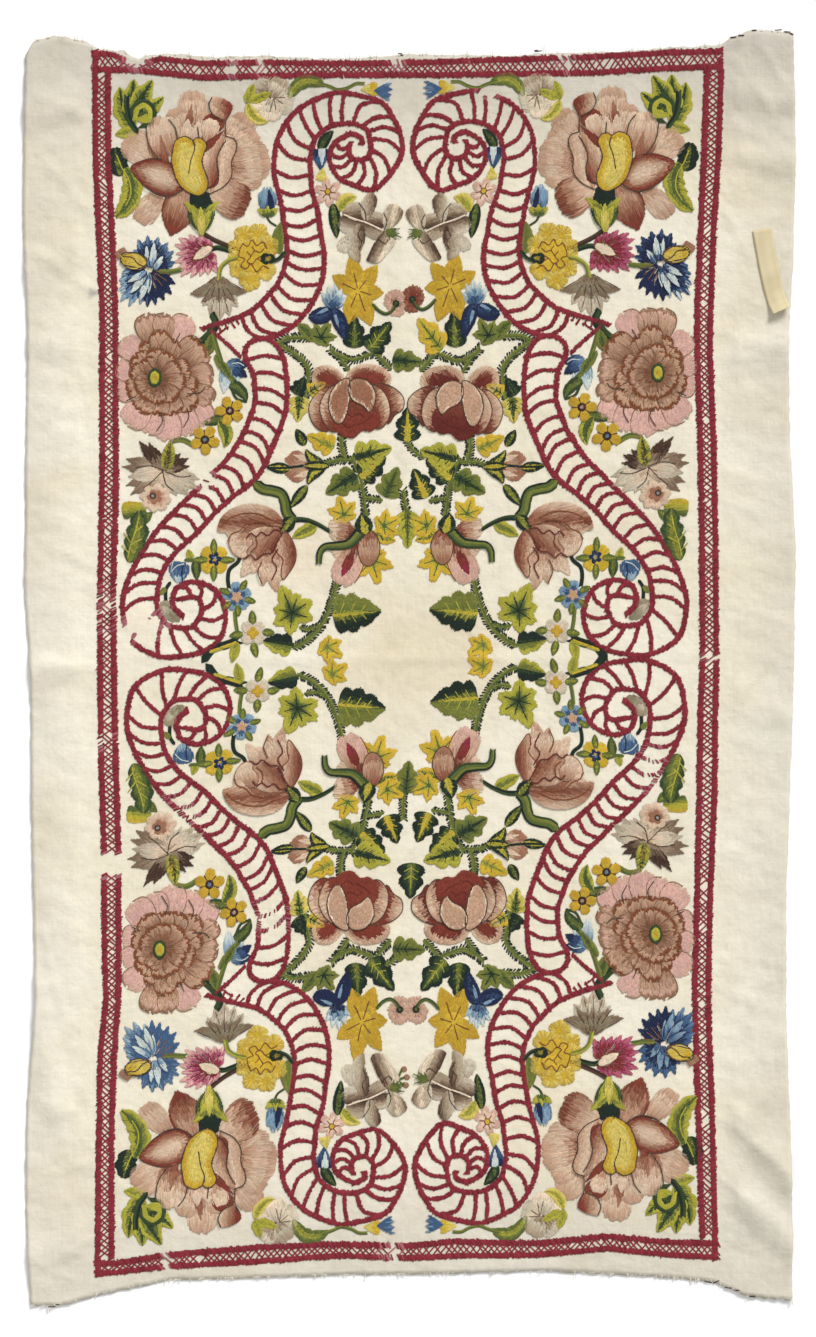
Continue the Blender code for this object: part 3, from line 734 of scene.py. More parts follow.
def wool_finish(name):
    """Matt wool: the stitch's own dye, with painted shade at its sides and ends, flecked, with a fine fuzz."""
    n = Nodes(name)
    # The stitch's dye, with painted shade at the yarn's sides and ends
    dye = n.add("ShaderNodeAttribute", {"attribute_name": "wool"})
    place = n.add("ShaderNodeTexCoord").outputs["Object"]
    fleck = n.add("ShaderNodeTexNoise", Vector=place, Scale=900.0, Detail=3.0, Roughness=0.6)
    fade = n.add("ShaderNodeTexNoise", Vector=place, Scale=45.0, Detail=2.0)
    tone = n.add("ShaderNodeMapRange", Value=fleck.outputs["Fac"])
    tone.inputs["From Min"].default_value, tone.inputs["From Max"].default_value = 0.3, 0.7
    tone.inputs["To Min"].default_value, tone.inputs["To Max"].default_value = 0.80, 1.18
    wide = n.add("ShaderNodeMapRange", Value=fade.outputs["Fac"])
    wide.inputs["From Min"].default_value, wide.inputs["From Max"].default_value = 0.3, 0.7
    wide.inputs["To Min"].default_value, wide.inputs["To Max"].default_value = 0.93, 1.07
    both = n.add("ShaderNodeMath", {"operation": "MULTIPLY"}, _0=tone.outputs[0], _1=wide.outputs[0])
    shaded = n.add("ShaderNodeVectorMath", {"operation": "SCALE"}, _0=dye.outputs["Color"], Scale=both.outputs[0])
    n.link(shaded.outputs[0], "Base Color")
    fuzz = n.add("ShaderNodeBump", Height=fleck.outputs["Fac"], Strength=0.5, Distance=0.0003)
    n.link(fuzz.outputs["Normal"], "Normal")
    n.shader.inputs["Roughness"].default_value = 0.92
    n.shader.inputs["Specular IOR Level"].default_value = 0.15
    n.shader.inputs["Sheen Weight"].default_value = 0.12
    n.shader.inputs["Sheen Roughness"].default_value = 0.5
    return n.finish


def linen_finish():
    """Plain-woven linen: fine yarns, slubs and cockles, and the tone on the cloth, its stains and its painted shade
    towards the edges and in the margin folds.
    """
    n = Nodes("linen")
    # The cloth's tone, with its stains and painted shade towards the edges and in the margin folds
    tone = n.add("ShaderNodeAttribute", {"attribute_name": "wool"})
    place = n.add("ShaderNodeTexCoord").outputs["Object"]
    apart = n.add("ShaderNodeSeparateXYZ", Vector=place)
    warp = n.add("ShaderNodeMath", {"operation": "MULTIPLY"}, _0=apart.outputs["X"], _1=2 * pi / 0.00083)
    weft = n.add("ShaderNodeMath", {"operation": "MULTIPLY"}, _0=apart.outputs["Y"], _1=2 * pi / 0.00091)
    waves = [n.add("ShaderNodeMath", {"operation": "SINE"}, _0=run.outputs[0]) for run in (warp, weft)]
    weave = n.add("ShaderNodeMath", {"operation": "MULTIPLY"}, _0=waves[0].outputs[0], _1=waves[1].outputs[0])
    slubs = []
    for scale in ((34.0, 560.0, 1.0), (480.0, 26.0, 1.0)):
        stretch = n.add("ShaderNodeMapping", Vector=place, Scale=scale)
        slubs.append(n.add("ShaderNodeTexNoise", Vector=stretch.outputs[0], Scale=1.0, Detail=4.0, Roughness=0.65))
    both = n.add("ShaderNodeMath", {"operation": "ADD"}, _0=slubs[0].outputs["Fac"], _1=slubs[1].outputs["Fac"])
    shade = n.add("ShaderNodeMapRange", Value=both.outputs[0])
    shade.inputs["From Min"].default_value, shade.inputs["From Max"].default_value = 0.7, 1.3
    shade.inputs["To Min"].default_value, shade.inputs["To Max"].default_value = 0.95, 1.04
    stains_and_painted_shade = tone.outputs["Color"]
    # (noise size, low, high, colour of the darker places)
    for size, low, high, dark in [(7.0, 0.32, 0.62, (0.93, 0.90, 0.84, 1)), (26.0, 0.30, 0.55, (0.94, 0.935, 0.93, 1)),
                                  (90.0, 0.30, 0.5, (0.95, 0.945, 0.93, 1))]:
        cloud = n.add("ShaderNodeTexNoise", Vector=place, Scale=size, Detail=5.0, Roughness=0.6, Distortion=0.6)
        stain = n.add("ShaderNodeValToRGB", Fac=cloud.outputs["Fac"])
        stain.color_ramp.elements[0].position, stain.color_ramp.elements[1].position = low, high
        stain.color_ramp.elements[0].color, stain.color_ramp.elements[1].color = dark, (1, 1, 1, 1)
        mix = n.add("ShaderNodeMix", {"data_type": "RGBA", "blend_type": "MULTIPLY"}, Factor=1.0)
        n.tree.links.new(stains_and_painted_shade, mix.inputs[6])
        n.tree.links.new(stain.outputs["Color"], mix.inputs[7])
        stains_and_painted_shade = mix.outputs[2]
    shaded = n.add("ShaderNodeVectorMath", {"operation": "SCALE"}, _0=stains_and_painted_shade, Scale=shade.outputs[0])
    n.link(shaded.outputs[0], "Base Color")
    cockle = n.add("ShaderNodeTexNoise", Vector=place, Scale=75.0, Detail=3.0, Roughness=0.5)
    coarse = n.add("ShaderNodeBump", Height=cockle.outputs["Fac"], Strength=0.6, Distance=0.0025)
    height = n.add("ShaderNodeMath", {"operation": "ADD"}, _0=weave.outputs[0], _1=both.outputs[0])
    bump = n.add("ShaderNodeBump", Height=height.outputs[0], Strength=0.35, Distance=0.0002,
                 Normal=coarse.outputs["Normal"])
    n.link(bump.outputs["Normal"], "Normal")
    n.shader.inputs["Roughness"].default_value = 0.9
    n.shader.inputs["Specular IOR Level"].default_value = 0.2
    return n.finish


# --- The linen -----------------------------------------------------------------------------------
CELL = 5.1
# Tones of the cloth, as seen, and the darker tone painted where the light falls off towards the edges
LINEN = (229, 222, 203)
LINEN_IN_SHADE = (192, 186, 176)
# Painted shade where the light falls off towards each edge: (side, reach, share)
EDGE_PAINTED_SHADE = [("top", 150, 0.8), ("bottom", 170, 0.5), ("left", 55, 0.3), ("right", 75, 0.35)]
# Stains and marks on the cloth, and, in the grey rows along the side margins, painted shade of the folds there: (right,
# down, half width, half height, colour as seen, share)
STAINS_AND_FOLD_SHADE = [
    (92, 293, 3.5, 3.0, (60, 62, 100), 0.9),
    (585, 86, 1.6, 8, (120, 110, 100), 0.7),
    (150, 615, 30, 24, (236, 214, 190), 0.35),
    (560, 1130, 60, 40, (224, 206, 172), 0.35),
    (300, 560, 40, 50, (224, 204, 176), 0.3),
    (640, 560, 30, 60, (222, 206, 178), 0.3),
    (408, 662, 90, 90, (206, 190, 154), 0.35),
    (764, 1180, 44, 100, (190, 184, 172), 0.3),
    (766, 96, 40, 80, (192, 188, 180), 0.35),
    (756, 1120, 22, 12, (176, 171, 160), 0.2),
    (745, 1232, 26, 9, (176, 171, 160), 0.2),
    (58, 180, 42, 100, (200, 192, 176), 0.3),
    (60, 1190, 42, 90, (202, 192, 174), 0.3),
]


def edge_at(table, place):
    rows = np.array(sorted(table), float)
    return np.interp(place, rows[:, 0], rows[:, 1])


def linen_tone(places):
    """The cloth's colour at each place, in linear light: its tone and stains, with painted shade towards the edges and
    in the margin folds.
    """
    right, down = places[:, 0], places[:, 1]
    gaps = {"top": down - edge_at(TOP_EDGE, right), "bottom": edge_at(BOTTOM_EDGE, right) - down,
            "left": right - edge_at(LEFT_EDGE, down), "right": edge_at(RIGHT_EDGE, down) - right}
    # grey is the share of painted shade, where the light falls off towards each edge
    grey = np.zeros(len(places))
    for side, reach, share in EDGE_PAINTED_SHADE:
        fall = np.clip(1 - gaps[side] / reach, 0, 1)
        grey = np.maximum(grey, share * fall * fall * (3 - 2 * fall))
    tone = linear(LINEN) * (1 - grey[:, None]) + linear(LINEN_IN_SHADE) * grey[:, None]
    # Stains and marks, and the painted shade of the margin folds
    for at_right, at_down, half_width, half_height, colour, share in STAINS_AND_FOLD_SHADE:
        away = np.hypot((right - at_right) / half_width, (down - at_down) / half_height)
        near = (share * np.clip(1.3 - away, 0, 1))[:, None]
        tone = tone * (1 - near) + linear(colour) * near
    return tone


def build_linen():
    random = np.random.default_rng(5)
    low, high = min(x for _, x in LEFT_EDGE), max(x for _, x in RIGHT_EDGE)
    places = [np.array([low])]
    for start, end, spacing in COLUMNS:
        start, end = start or low, end or high
        places.append(np.linspace(start, end, int((end - start) / spacing) + 1)[1:])
    stations = np.concatenate(places)
    columns = len(stations) - 1
    rows = int((FLAT_LENGTH / MM) / CELL)
    across, along = (stations - low) / (high - low), np.linspace(0, 1, rows + 1)
    grid = np.zeros((rows + 1, columns + 1, 2))
    for j in range(columns + 1):
        top, bottom = edge_at(TOP_EDGE, stations[j]), edge_at(BOTTOM_EDGE, stations[j])
        grid[:, j, 1] = top + (bottom - top) * along
    for i in range(rows + 1):
        down = grid[i, :, 1]
        left, right = edge_at(LEFT_EDGE, down), edge_at(RIGHT_EDGE, down)
        grid[i, :, 0] = left + (right - left) * across
    grid[0, :, 1] += random.uniform(-1.1, 0.9, columns + 1)
    grid[-1, :, 1] += random.uniform(-0.9, 1.1, columns + 1)
    grid[:, 0, 0] += random.uniform(-0.5, 0.5, rows + 1)
    grid[:, -1, 0] += random.uniform(-0.5, 0.5, rows + 1)
    flat = grid.reshape(-1, 2)
    under = sheet_lift(flat)
    count = len(flat)
    places = np.vstack([to_world(flat, under + SHEET_THICKNESS), to_world(flat, under)])
    index = np.arange(count).reshape(rows + 1, columns + 1)
    a, b, c, d = index[1:, :-1], index[1:, 1:], index[:-1, 1:], index[:-1, :-1]
    top = np.stack([a, b, c, d], -1).reshape(-1, 4)
    bottom = top[:, ::-1] + count
    ring = np.concatenate([index[0, :], index[1:, -1], index[-1, -2::-1], index[-2:0:-1, 0]])
    following = np.roll(ring, -1)
    sides = np.stack([ring, following, following + count, ring + count], -1)
    faces = np.vstack([top, bottom, sides]).tolist()
    tone = linen_tone(flat)
    mesh = make_mesh("linen_sheet", places, faces, np.vstack([tone, tone]))
    sheet = add_piece("linen_sheet", mesh, linen_finish(), ["linen_ground"])
    area = abs(np.sum(ring_area(flat[ring]))) * MM * MM
    return sheet, area


def ring_area(ring):
    after = np.roll(ring, -1, axis=0)
    return (ring[:, 0] * after[:, 1] - after[:, 0] * ring[:, 1]) / 2


# --- The crimson scrolls and border --------------------------------------------------------------
RAIL_WIDTH = 4.9
RIB_WIDTH = 3.8


def bows(table, count):
    """The bow of each rib, from a table of runs of ribs."""
    values = np.zeros(count)
    for first, last, bow in table:
        values[first:last + 1] = bow
    return values


def work_ladder(needle, rows, bow_table, skip=()):
    """Two rails and the bowed ribs between them."""
    rows = np.array(rows, float)
    needle.rail(rows[:, :2], RAIL_WIDTH, level=1.4)
    needle.rail(rows[:, 2:], RAIL_WIDTH, level=1.4)
    for number, (row, bow) in enumerate(zip(rows, bows(bow_table, len(rows)))):
        if number in skip:
            continue
        outer, inner = row[:2], row[2:]
        run = inner - outer
        if hypot(*run) < 9:
            continue
        normal = np.array([-run[1], run[0]]) / hypot(*run)
        middle = outer + run * 0.55 + normal * bow
        needle.rail([outer, outer + run * 0.25 + normal * bow * 0.7, middle, inner], RIB_WIDTH, level=1)


def work_upper_scroll(n):
    rows = [(251, 311.5, 268, 338)] + list(UPPER_SCROLL[1:])
    work_ladder(n, rows, UPPER_BOWS, skip=(0,))
    n.rail([(252, 311), (241, 316), (228, 321), (214, 325), (202, 329.5)], RAIL_WIDTH, level=1.4)
    n.rail([(242, 318), (246, 328), (255, 336), (267, 339)], RIB_WIDTH, level=1)
    n.rail([(211, 331), (225, 342), (241, 357)], 3.8, level=1.2)
    n.rail([(350, 133.5), (358, 136), (363, 141), (361, 145)], 5.2, level=1.4)
    n.rail([(362, 127), (371, 120), (383, 117)], RIB_WIDTH, level=1)
    for start, end in [((219, 327), (221, 333)), ((225, 324), (228, 329)), ((231, 322), (235, 328)),
                       ((219, 334), (228, 327)), ((236, 320), (239, 324))]:
        n.rail([start, end], 1.8, level=1)


def work_lower_scroll(n):
    work_ladder(n, LOWER_SCROLL, LOWER_BOWS)
    n.rail([(246, 361), (245, 352), (248, 345), (256, 340), (267, 339), (277, 346), (284, 359)], RAIL_WIDTH, level=1.4)
    n.rail([(172, 600), (174, 608), (184, 617)], 6.0, level=1.4)


def work_border(needle, upright, rows, start, end):
    """Two solid lines with a lattice between them, for the stretch from start to end."""
    table = np.array(rows, float)
    along = np.arange(start, end + 0.01, 2.0)
    outer, inner = np.interp(along, table[:, 0], table[:, 1]), np.interp(along, table[:, 0], table[:, 2])
    side = np.sign(inner - outer)[0]

    def at(place, line):
        return np.column_stack([line, place]) if upright else np.column_stack([place, line])

    sway = needle.random.normal(0, 0.28, (2, len(along)))
    needle.rail(at(along, outer + side * 2.7 + sway[0]), 5.4, level=1.3, soft=False)
    needle.rail(at(along, inner - side * 2.9 + sway[1]), 5.7, level=1.3, soft=False)
    pitch = 5.9
    for lean in (-1, 1):
        places = np.arange(start - 12, end + 12, pitch) + (0 if lean > 0 else pitch / 2)
        places = places + needle.random.uniform(-0.9, 0.9, len(places))
        low = np.interp(places, along, outer) + side * 4.4
        far = places + lean * (8.6 + needle.random.uniform(-1.2, 1.2, len(places)))
        high = np.interp(far, along, inner) - side * 4.6
        keep = (np.minimum(places, far) > start - 4) & (np.maximum(places, far) < end + 4)
        keep &= needle.random.random(len(places)) > 0.05
        a, b = at(places, low)[keep], at(far, high)[keep]
        needle.lay(a, b, "crimson", 0.9 + 0.15 * lean, 1.6)
        needle.lay(a + (b - a) * 0.02, b - (b - a) * 0.02, "crimson_deep", 0.7 + 0.15 * lean, 1.7)


# Where the crimson is worn away, as found: (right, down, half width, half height, share lost)
WORN = [
    (136, 60, 10, 7, 0.95), (232, 69, 4, 8, 0.8), (261, 66, 3, 9, 0.8), (397, 63, 6, 6, 0.85),
    (565, 62, 7, 8, 0.7), (104, 608, 11, 18, 0.35), (106, 740, 9, 8, 0.4), (111, 865, 14, 9, 1.0),
    (166, 1262, 3, 10, 0.9), (392, 1252, 9, 7, 0.7), (712, 657, 10, 2.5, 0.9), (207, 474.5, 5.5, 6, 1.0),
    (128, 633, 6, 8, 1.0), (146, 625, 15, 11, 0.97), (205, 484, 6, 5, 0.8), (489, 91, 9, 6, 0.9), (181, 818, 14, 20, 0.5),
    (268, 918, 16, 12, 0.5), (652, 768, 9, 20, 0.6), (138, 140, 20, 5, 0.0),
]


def worn(rows, random):
    """Crimson stitches that are left, and faded where the wool is thin."""
    middle = (rows[:, 0:2] + rows[:, 2:4]) / 2
    keep = np.ones(len(rows), bool)
    rows = rows.copy()
    for right, down, half_width, half_height, share in WORN:
        away = np.hypot((middle[:, 0] - right) / half_width, (middle[:, 1] - down) / half_height)
        keep &= ~((away < 1) & (random.random(len(rows)) < share))
        edge = (away < 1.7) & (random.random(len(rows)) < 0.6 * share)
        for column in (4, 7):
            rows[edge, column] = WOOL_NAMES.index("crimson_worn")
    return rows[keep]


# --- Motifs, charted in the upper left quarter ---------------------------------------------------
def peony_calyx(n):
    n.patch([(192, 193), (190, 203), (188, 212), (190, 222), (197, 230), (207, 230), (213, 221), (215, 210), (211, 200),
             (208, 193)], 90, ((0, "pine"), (0.4, "pine"), (0.6, "forest"), (0.85, "green")), level=5, toward=90)
    for tip, half, bend, tone, level in [
            ((185, 203), 6, 5, ((0, "lime"), (0.3, "green"), (0.6, "olive"), (0.85, "lime")), 5.6),
            ((219, 202), 6, -5, ((0, "lime"), (0.3, "green"), (0.6, "olive"), (0.85, "lime")), 5.6),
            ((192, 211), 5, 3, ((0, "lime"), (0.3, "olive"), (0.7, "lime")), 6),
            ((211, 211), 5, -3, ((0, "lime"), (0.3, "olive"), (0.7, "lime")), 6),
            ((201, 208), 4.2, 0, ((0, "lime"), (0.5, "gold_light"), (0.9, "lime")), 6.4)]:
        n.petal((202, 236), tip, half, tone, bend=bend, form="leaf", level=level, edge=0.9)
    for points in ([(198, 231), (193, 222), (191, 213)], [(206, 231), (211, 222), (213, 212)]):
        n.line(points, "forest", 7.2, 1.3)


CORNERS = {"border_top": [(95.5, 51, 74), (720.3, 48.5, 71)], "border_bottom": [(97.9, 1258, 1276), (714.8, 1238, 1259.5)]}


def build_threads(finish):
    """Frayed yarns along the cut edges, and the dark ends caught in them."""
    needle = Needle(8800)
    for table, side in ((TOP_EDGE, -1), (BOTTOM_EDGE, 1)):
        count = 190
        right = needle.random.uniform(25, 794, count)
        down = edge_at(table, right)
        reach = needle.random.gamma(2.0, 0.9, count)
        ends = np.column_stack([right + needle.random.normal(0, 1.8, count), down + side * reach])
        needle.lay(np.column_stack([right, down - side * 1.5]), ends, "thread", 0, 0.7)
    for right, down, length in DARK_ENDS:
        lean = needle.random.normal(0, 1.0)
        needle.lay([[right - length / 2, down]], [[right + length / 2, down + lean]], "bark", 1, 1.3)
    mesh = stitch_mesh("edge_threads", needle.stitches(), needle.random)
    return add_piece("edge_threads", mesh, finish)


DARK_ENDS = [(400, 54, 4), (402, 55, 3), (538, 52, 7), (536, 51, 4), (733, 38, 6), (741, 36, 6), (754, 31, 5),
             (778, 31, 7), (787, 32, 6), (791, 33, 4), (52, 1306, 7), (58, 1304, 4), (708, 1281, 7), (716, 1283, 6),
             (728, 1287, 7), (737, 1290, 4), (752, 1296, 6)]


COLUMNS = [(None, 92, 3.5), (92, 722, 7.4), (722, None, 3.5)]


FOLDS = [
    (716, 1116, 758, 1142, 5, 1.2), (752, 1142, 784, 1170, 7, 2.0), (718, 1176, 756, 1206, 6, 1.4),
    (726, 1238, 768, 1254, 5, 1.2), (782, 1218, 772, 1268, 5, 1.3), (718, 988, 752, 1000, 5, 1.0),
    (720, 956, 782, 963, 5, 1.3), (736, 60, 772, 112, 7, 1.5), (762, 48, 784, 84, 6, 1.4), (728, 120, 784, 152, 6, 1.1),
    (724, 332, 784, 350, 6, 1.6), (732, 374, 782, 368, 5, 1.1), (726, 214, 752, 262, 6, 1.0),
    (726, 470, 784, 490, 7, 0.8), (724, 604, 782, 620, 6, 1.0), (726, 852, 780, 838, 7, 0.8),
    (34, 250, 90, 290, 7, 1.5), (34, 320, 88, 338, 6, 1.3), (32, 94, 86, 116, 7, 1.4), (38, 152, 84, 206, 6, 1.2),
    (38, 662, 94, 668, 5, 1.5), (38, 420, 90, 404, 6, 0.8), (40, 540, 88, 566, 6, 0.8), (42, 812, 92, 828, 6, 0.8),
    (42, 930, 62, 1010, 7, 1.1), (46, 1060, 92, 1096, 6, 1.0), (38, 1180, 88, 1162, 6, 1.0),
    (42, 1266, 90, 1240, 6, 1.4), (150, 1272, 300, 1270, 5, 0.7), (480, 1264, 640, 1266, 5, 0.7),
]


SWAPS = [
    ("rose", "upper_right", [("rose_tan", "rose"), ("brick", "oxblood"), ("fawn", "brick")]),
    ("rose", "lower_left", [("rose_tan", "rose"), ("russet", "brick")]),
    ("rose", "lower_right", [("rose_tan", "rose"), ("russet", "oxblood")]),
    ("cornflower", "upper_right", [("blue", "navy"), ("sky", "blue")]),
    ("cornflower", "lower_right", [("bark", "navy"), ("sky", "blue"), ("mist", "sky")]),
    ("cornflower", "lower_left", [("bark", "navy"), ("navy", "blue")]),
    ("thistle", "upper_right", [("magenta", "brick"), ("cerise", "magenta"), ("pink", "cerise")]),
    ("thistle", "lower_right", [("magenta", "brick"), ("cerise", "magenta"), ("pink", "cerise")]),
    ("blue_trefoil", "lower_left", [("blue", "navy")]),
]


def recoloured(rows, motif, quarter):
    """The stitches with the wools that this quarter has in place of the chart's."""
    before = rows.copy()
    for name, where, swaps in SWAPS:
        if name == motif and where == quarter:
            for old, new in swaps:
                for column in (4, 7):
                    rows[before[:, column] == WOOL_NAMES.index(old), column] = WOOL_NAMES.index(new)
    return rows


def peony(n):
    petal = ((0, "brick"), (0.12, "rose_tan"), (0.35, "rose"), (0.55, "rose_pale"), (0.85, "rose"))
    n.petal((193, 140), (193, 91), 15, ((0, "russet"), (0.25, "rose_tan"), (0.45, "rose"), (0.62, "rose_pale"),
                                        (0.9, "rose")), form="drop", level=1, teeth=3, depth=0.05)
    n.petal((188, 128), (192, 105), 4.2, ((0, "russet"), (0.7, "rose_tan")), form="spear", level=1.6)
    n.petal((184, 140), (175, 109), 12, petal, form="drop", level=1.1, edge=0.3)
    n.petal((204, 140), (207, 112), 10, petal, form="drop", level=1.1)
    n.petal((166, 163), (124, 139), 17, ((0, "rose_tan"), (0.3, "rose"), (0.55, "rose_pale"), (0.85, "rose")),
            form="drop", level=1, teeth=3, depth=0.04)
    n.petal((161, 163), (157, 117), 13, ((0, "russet"), (0.2, "rose_tan"), (0.45, "rose"), (0.65, "rose_pale"),
                                         (0.92, "rose")), form="oval", level=2)
    n.petal((176, 160), (166, 118), 10.5, ((0, "russet"), (0.25, "rose_tan"), (0.5, "rose"), (0.7, "rose_pale")),
            form="drop", level=2.6)
    n.petal((166, 163), (161, 136), 4.2, ((0, "brick"), (0.5, "rose_tan")), form="spear", level=3.4)
    n.petal((186, 142), (188, 120), 6, ((0, "rose"), (0.4, "rose_pale")), form="leaf", level=3)
    n.petal((196, 144), (199, 122), 6, ((0, "rose"), (0.4, "rose_pale")), form="leaf", level=3)
    n.petal((206, 143), (213, 120), 9, ((0, "rose_tan"), (0.3, "rose"), (0.6, "rose_pale")), form="drop", level=3)
    n.patch([(201, 131), (204, 119), (212, 114), (223, 116), (224, 127), (216, 133), (208, 130)], 105,
            ((0, "brick"), (0.6, "russet")), level=2.6, toward=90)
    n.petal((203, 151), (224, 131), 4.4, ((0, "russet"), (0.7, "brick")), form="spear", level=4.2)
    n.patch([(211, 98), (209, 106), (214, 115), (224, 121), (231, 113), (232, 105), (222, 99)], 115,
            ((0, "rose_pale"), (0.3, "rose"), (0.55, "rose_tan"), (0.75, "brick")), level=4, toward=-5)
    n.petal((224, 150), (249, 117), 15, petal, form="drop", level=1, edge=0.2)
    n.petal((226, 158), (256, 133), 13, petal, form="drop", level=1.4)
    n.petal((226, 166), (270, 158), 20, petal, form="drop", level=1.8, teeth=4, depth=0.04)
    n.petal((224, 174), (262, 178), 14, petal, form="drop", level=1.6)
    n.petal((209, 189), (248, 207), 19, ((0, "rose"), (0.15, "rose_pale"), (0.5, "rose"), (0.72, "rose_tan"),
                                         (0.86, "russet")), form="drop", level=3, edge=0.8, teeth=5, depth=0.03)
    n.petal((185, 190), (171, 235), 17, ((0, "rose_tan"), (0.25, "rose"), (0.5, "rose_tan"), (0.75, "russet"),
                                         (0.92, "brick")), form="leaf", level=2.2, edge=0.95)
    n.petal((162, 190), (139, 222), 13, ((0, "rose_tan"), (0.3, "rose"), (0.6, "rose_pale"), (0.9, "rose")),
            form="drop", level=1, edge=0.3)
    n.patch([(131, 169), (140, 162), (155, 159), (170, 163), (180, 174), (183, 187), (174, 196), (157, 194),
             (143, 185)], 15, ((0, "rose_pale"), (0.35, "rose"), (0.6, "rose_tan"), (0.85, "brick")), level=3,
            depth=13, rim="umber")
    n.patch([(203, 156), (207, 149), (216, 142), (227, 136), (226, 146), (219, 155), (217, 166), (220, 177),
             (216, 187), (208, 188), (205, 174)], 100, ((0, "rose_pale"), (0.35, "rose"), (0.6, "rose_tan"),
                                                       (0.9, "brick")), level=4, toward=25)
    n.patch([(227, 136), (234, 139), (238, 148), (233, 160), (233, 176), (226, 186), (213, 195), (210, 190),
             (218, 185), (219, 172), (218, 160), (222, 148)], 100, ((0, "rose_tan"), (0.35, "rose_pale"), (0.8, "rose")),
            level=4, toward=10)
    n.patch([(186, 137), (176, 141), (173, 152), (172, 163), (175, 176), (181, 187), (191, 194), (200, 196),
             (207, 190), (208, 180), (204, 169), (202, 162), (204, 154), (207, 146), (203, 140), (197, 138),
             (193, 141)], 75, ((0, "gold_light"), (0.45, "gold"), (0.85, "amber")), level=6, depth=8, rim="umber")
    n.petal((197, 192), (182, 152), 3.6, ((0, "gold_light"),), bend=-7, form="spear", level=7)
    for points in ([(193, 141), (195, 149), (191, 161), (189, 174)], [(146, 128), (149, 145), (158, 159)],
                   [(169, 120), (175, 128), (178, 140)], [(198, 128), (199, 139)],
                   [(212, 98), (209, 106), (213, 115), (224, 121)], [(231, 113), (226, 122), (226, 137)],
                   [(226, 141), (219, 153), (217, 163), (219, 176), (213, 186), (208, 188)],
                   [(227, 137), (235, 140), (237, 149), (232, 162), (232, 176), (224, 187), (211, 194)],
                   [(145, 187), (157, 195), (171, 197), (184, 189)]):
        n.line(points, "umber", 7.5, 1.2)
    peony_calyx(n)
    n.stem([(204, 234), (212, 239), (223, 244), (236, 249), (242, 250)], 4.4, "umber", "bark", level=1)


def blue_bud(n):
    n.petal((268, 212), (267, 186), 9.5, ((0, "navy"), (0.25, "blue"), (0.6, "sky")), form="oval", level=1, teeth=4)
    n.petal((262, 212), (265, 190), 3, ((0, "blue"), (0.5, "sky")), form="leaf", level=2)
    n.petal((272, 212), (269, 190), 3, ((0, "navy"),), form="leaf", level=2)
    n.petal((268, 216), (258, 209), 3.6, LIME_LEAF, form="leaf", level=3)
    n.petal((268, 216), (278, 209), 3.6, LIME_LEAF, form="leaf", level=3)
    n.petal((268, 218), (268, 206), 3.4, LIME_LEAF, form="leaf", level=3)
    n.stem([(267, 217), (270, 222), (276, 226)], 1.8, "forest", level=1)
    n.leaf((281, 254), (281, 222), 9, ((0, "green"), (0.5, "olive")), lean=(1, 0.3), level=1)


def top_flower(n):
    """The grey flower under the top border, and its yellow-green leaf."""
    n.petal((272, 98), (256, 81), 12, ((0, "umber"), (0.3, "stone_dark"), (0.6, "stone"), (0.85, "stone_pale")),
            form="drop", level=1, edge=0.3)
    n.petal((272, 98), (283, 79), 12, ((0, "stone_dark"), (0.25, "stone"), (0.45, "stone_pale"), (0.8, "stone")),
            form="drop", level=1.4)
    n.petal((271, 99), (293, 105), 12, ((0, "stone"), (0.3, "shell"), (0.75, "stone_pale")), form="drop", level=1)
    n.petal((271, 99), (269, 121), 12, ((0, "stone_dark"), (0.25, "stone_pale"), (0.8, "shell")), form="drop",
            level=1.2)
    n.petal((269, 98), (252, 108), 8, ((0, "stone"), (0.4, "shell")), form="drop", level=1)
    for tip in [(285, 98), (283, 104), (276, 110), (270, 112)]:
        n.line([(274, 98), tip], "stone_dark", 3, 0.9, 5)
    n.leaf((247, 103), (254, 84), 5.5, ((0, "green"), (0.4, "lime")), level=2.2, lobes=2, depth=0.2)
    n.leaf((248, 104), (269, 122), 6.5, ((0, "olive"), (0.35, "lime"), (0.75, "gold_light")), bend=6, level=2,
           lobes=2, depth=0.15)
    n.leaf((250, 102), (272, 93), 5, ((0, "green"), (0.4, "lime")), level=2.6, lobes=2, depth=0.2)


def vine(n):
    n.leaf((289, 99), (325, 86), 7.5, ((0, "lime"), (0.5, "olive"), (0.8, "green")), bend=-11, level=1, form="oval",
           lobes=3, depth=0.15)
    n.stem([(318, 83), (330, 87), (338, 90), (348, 88), (356, 84), (364, 84)], 3, "green", "olive", level=1)
    n.petal((361, 90), (377, 89), 7, ((0, "lime"), (0.3, "gold_light"), (0.7, "gold")), form="fan", level=1)
    n.petal((374, 91), (392, 92), 9, ((0, "navy"), (0.25, "blue"), (0.7, "blue"), (0.88, "sky")), form="fan", level=2,
            teeth=3, depth=0.25)


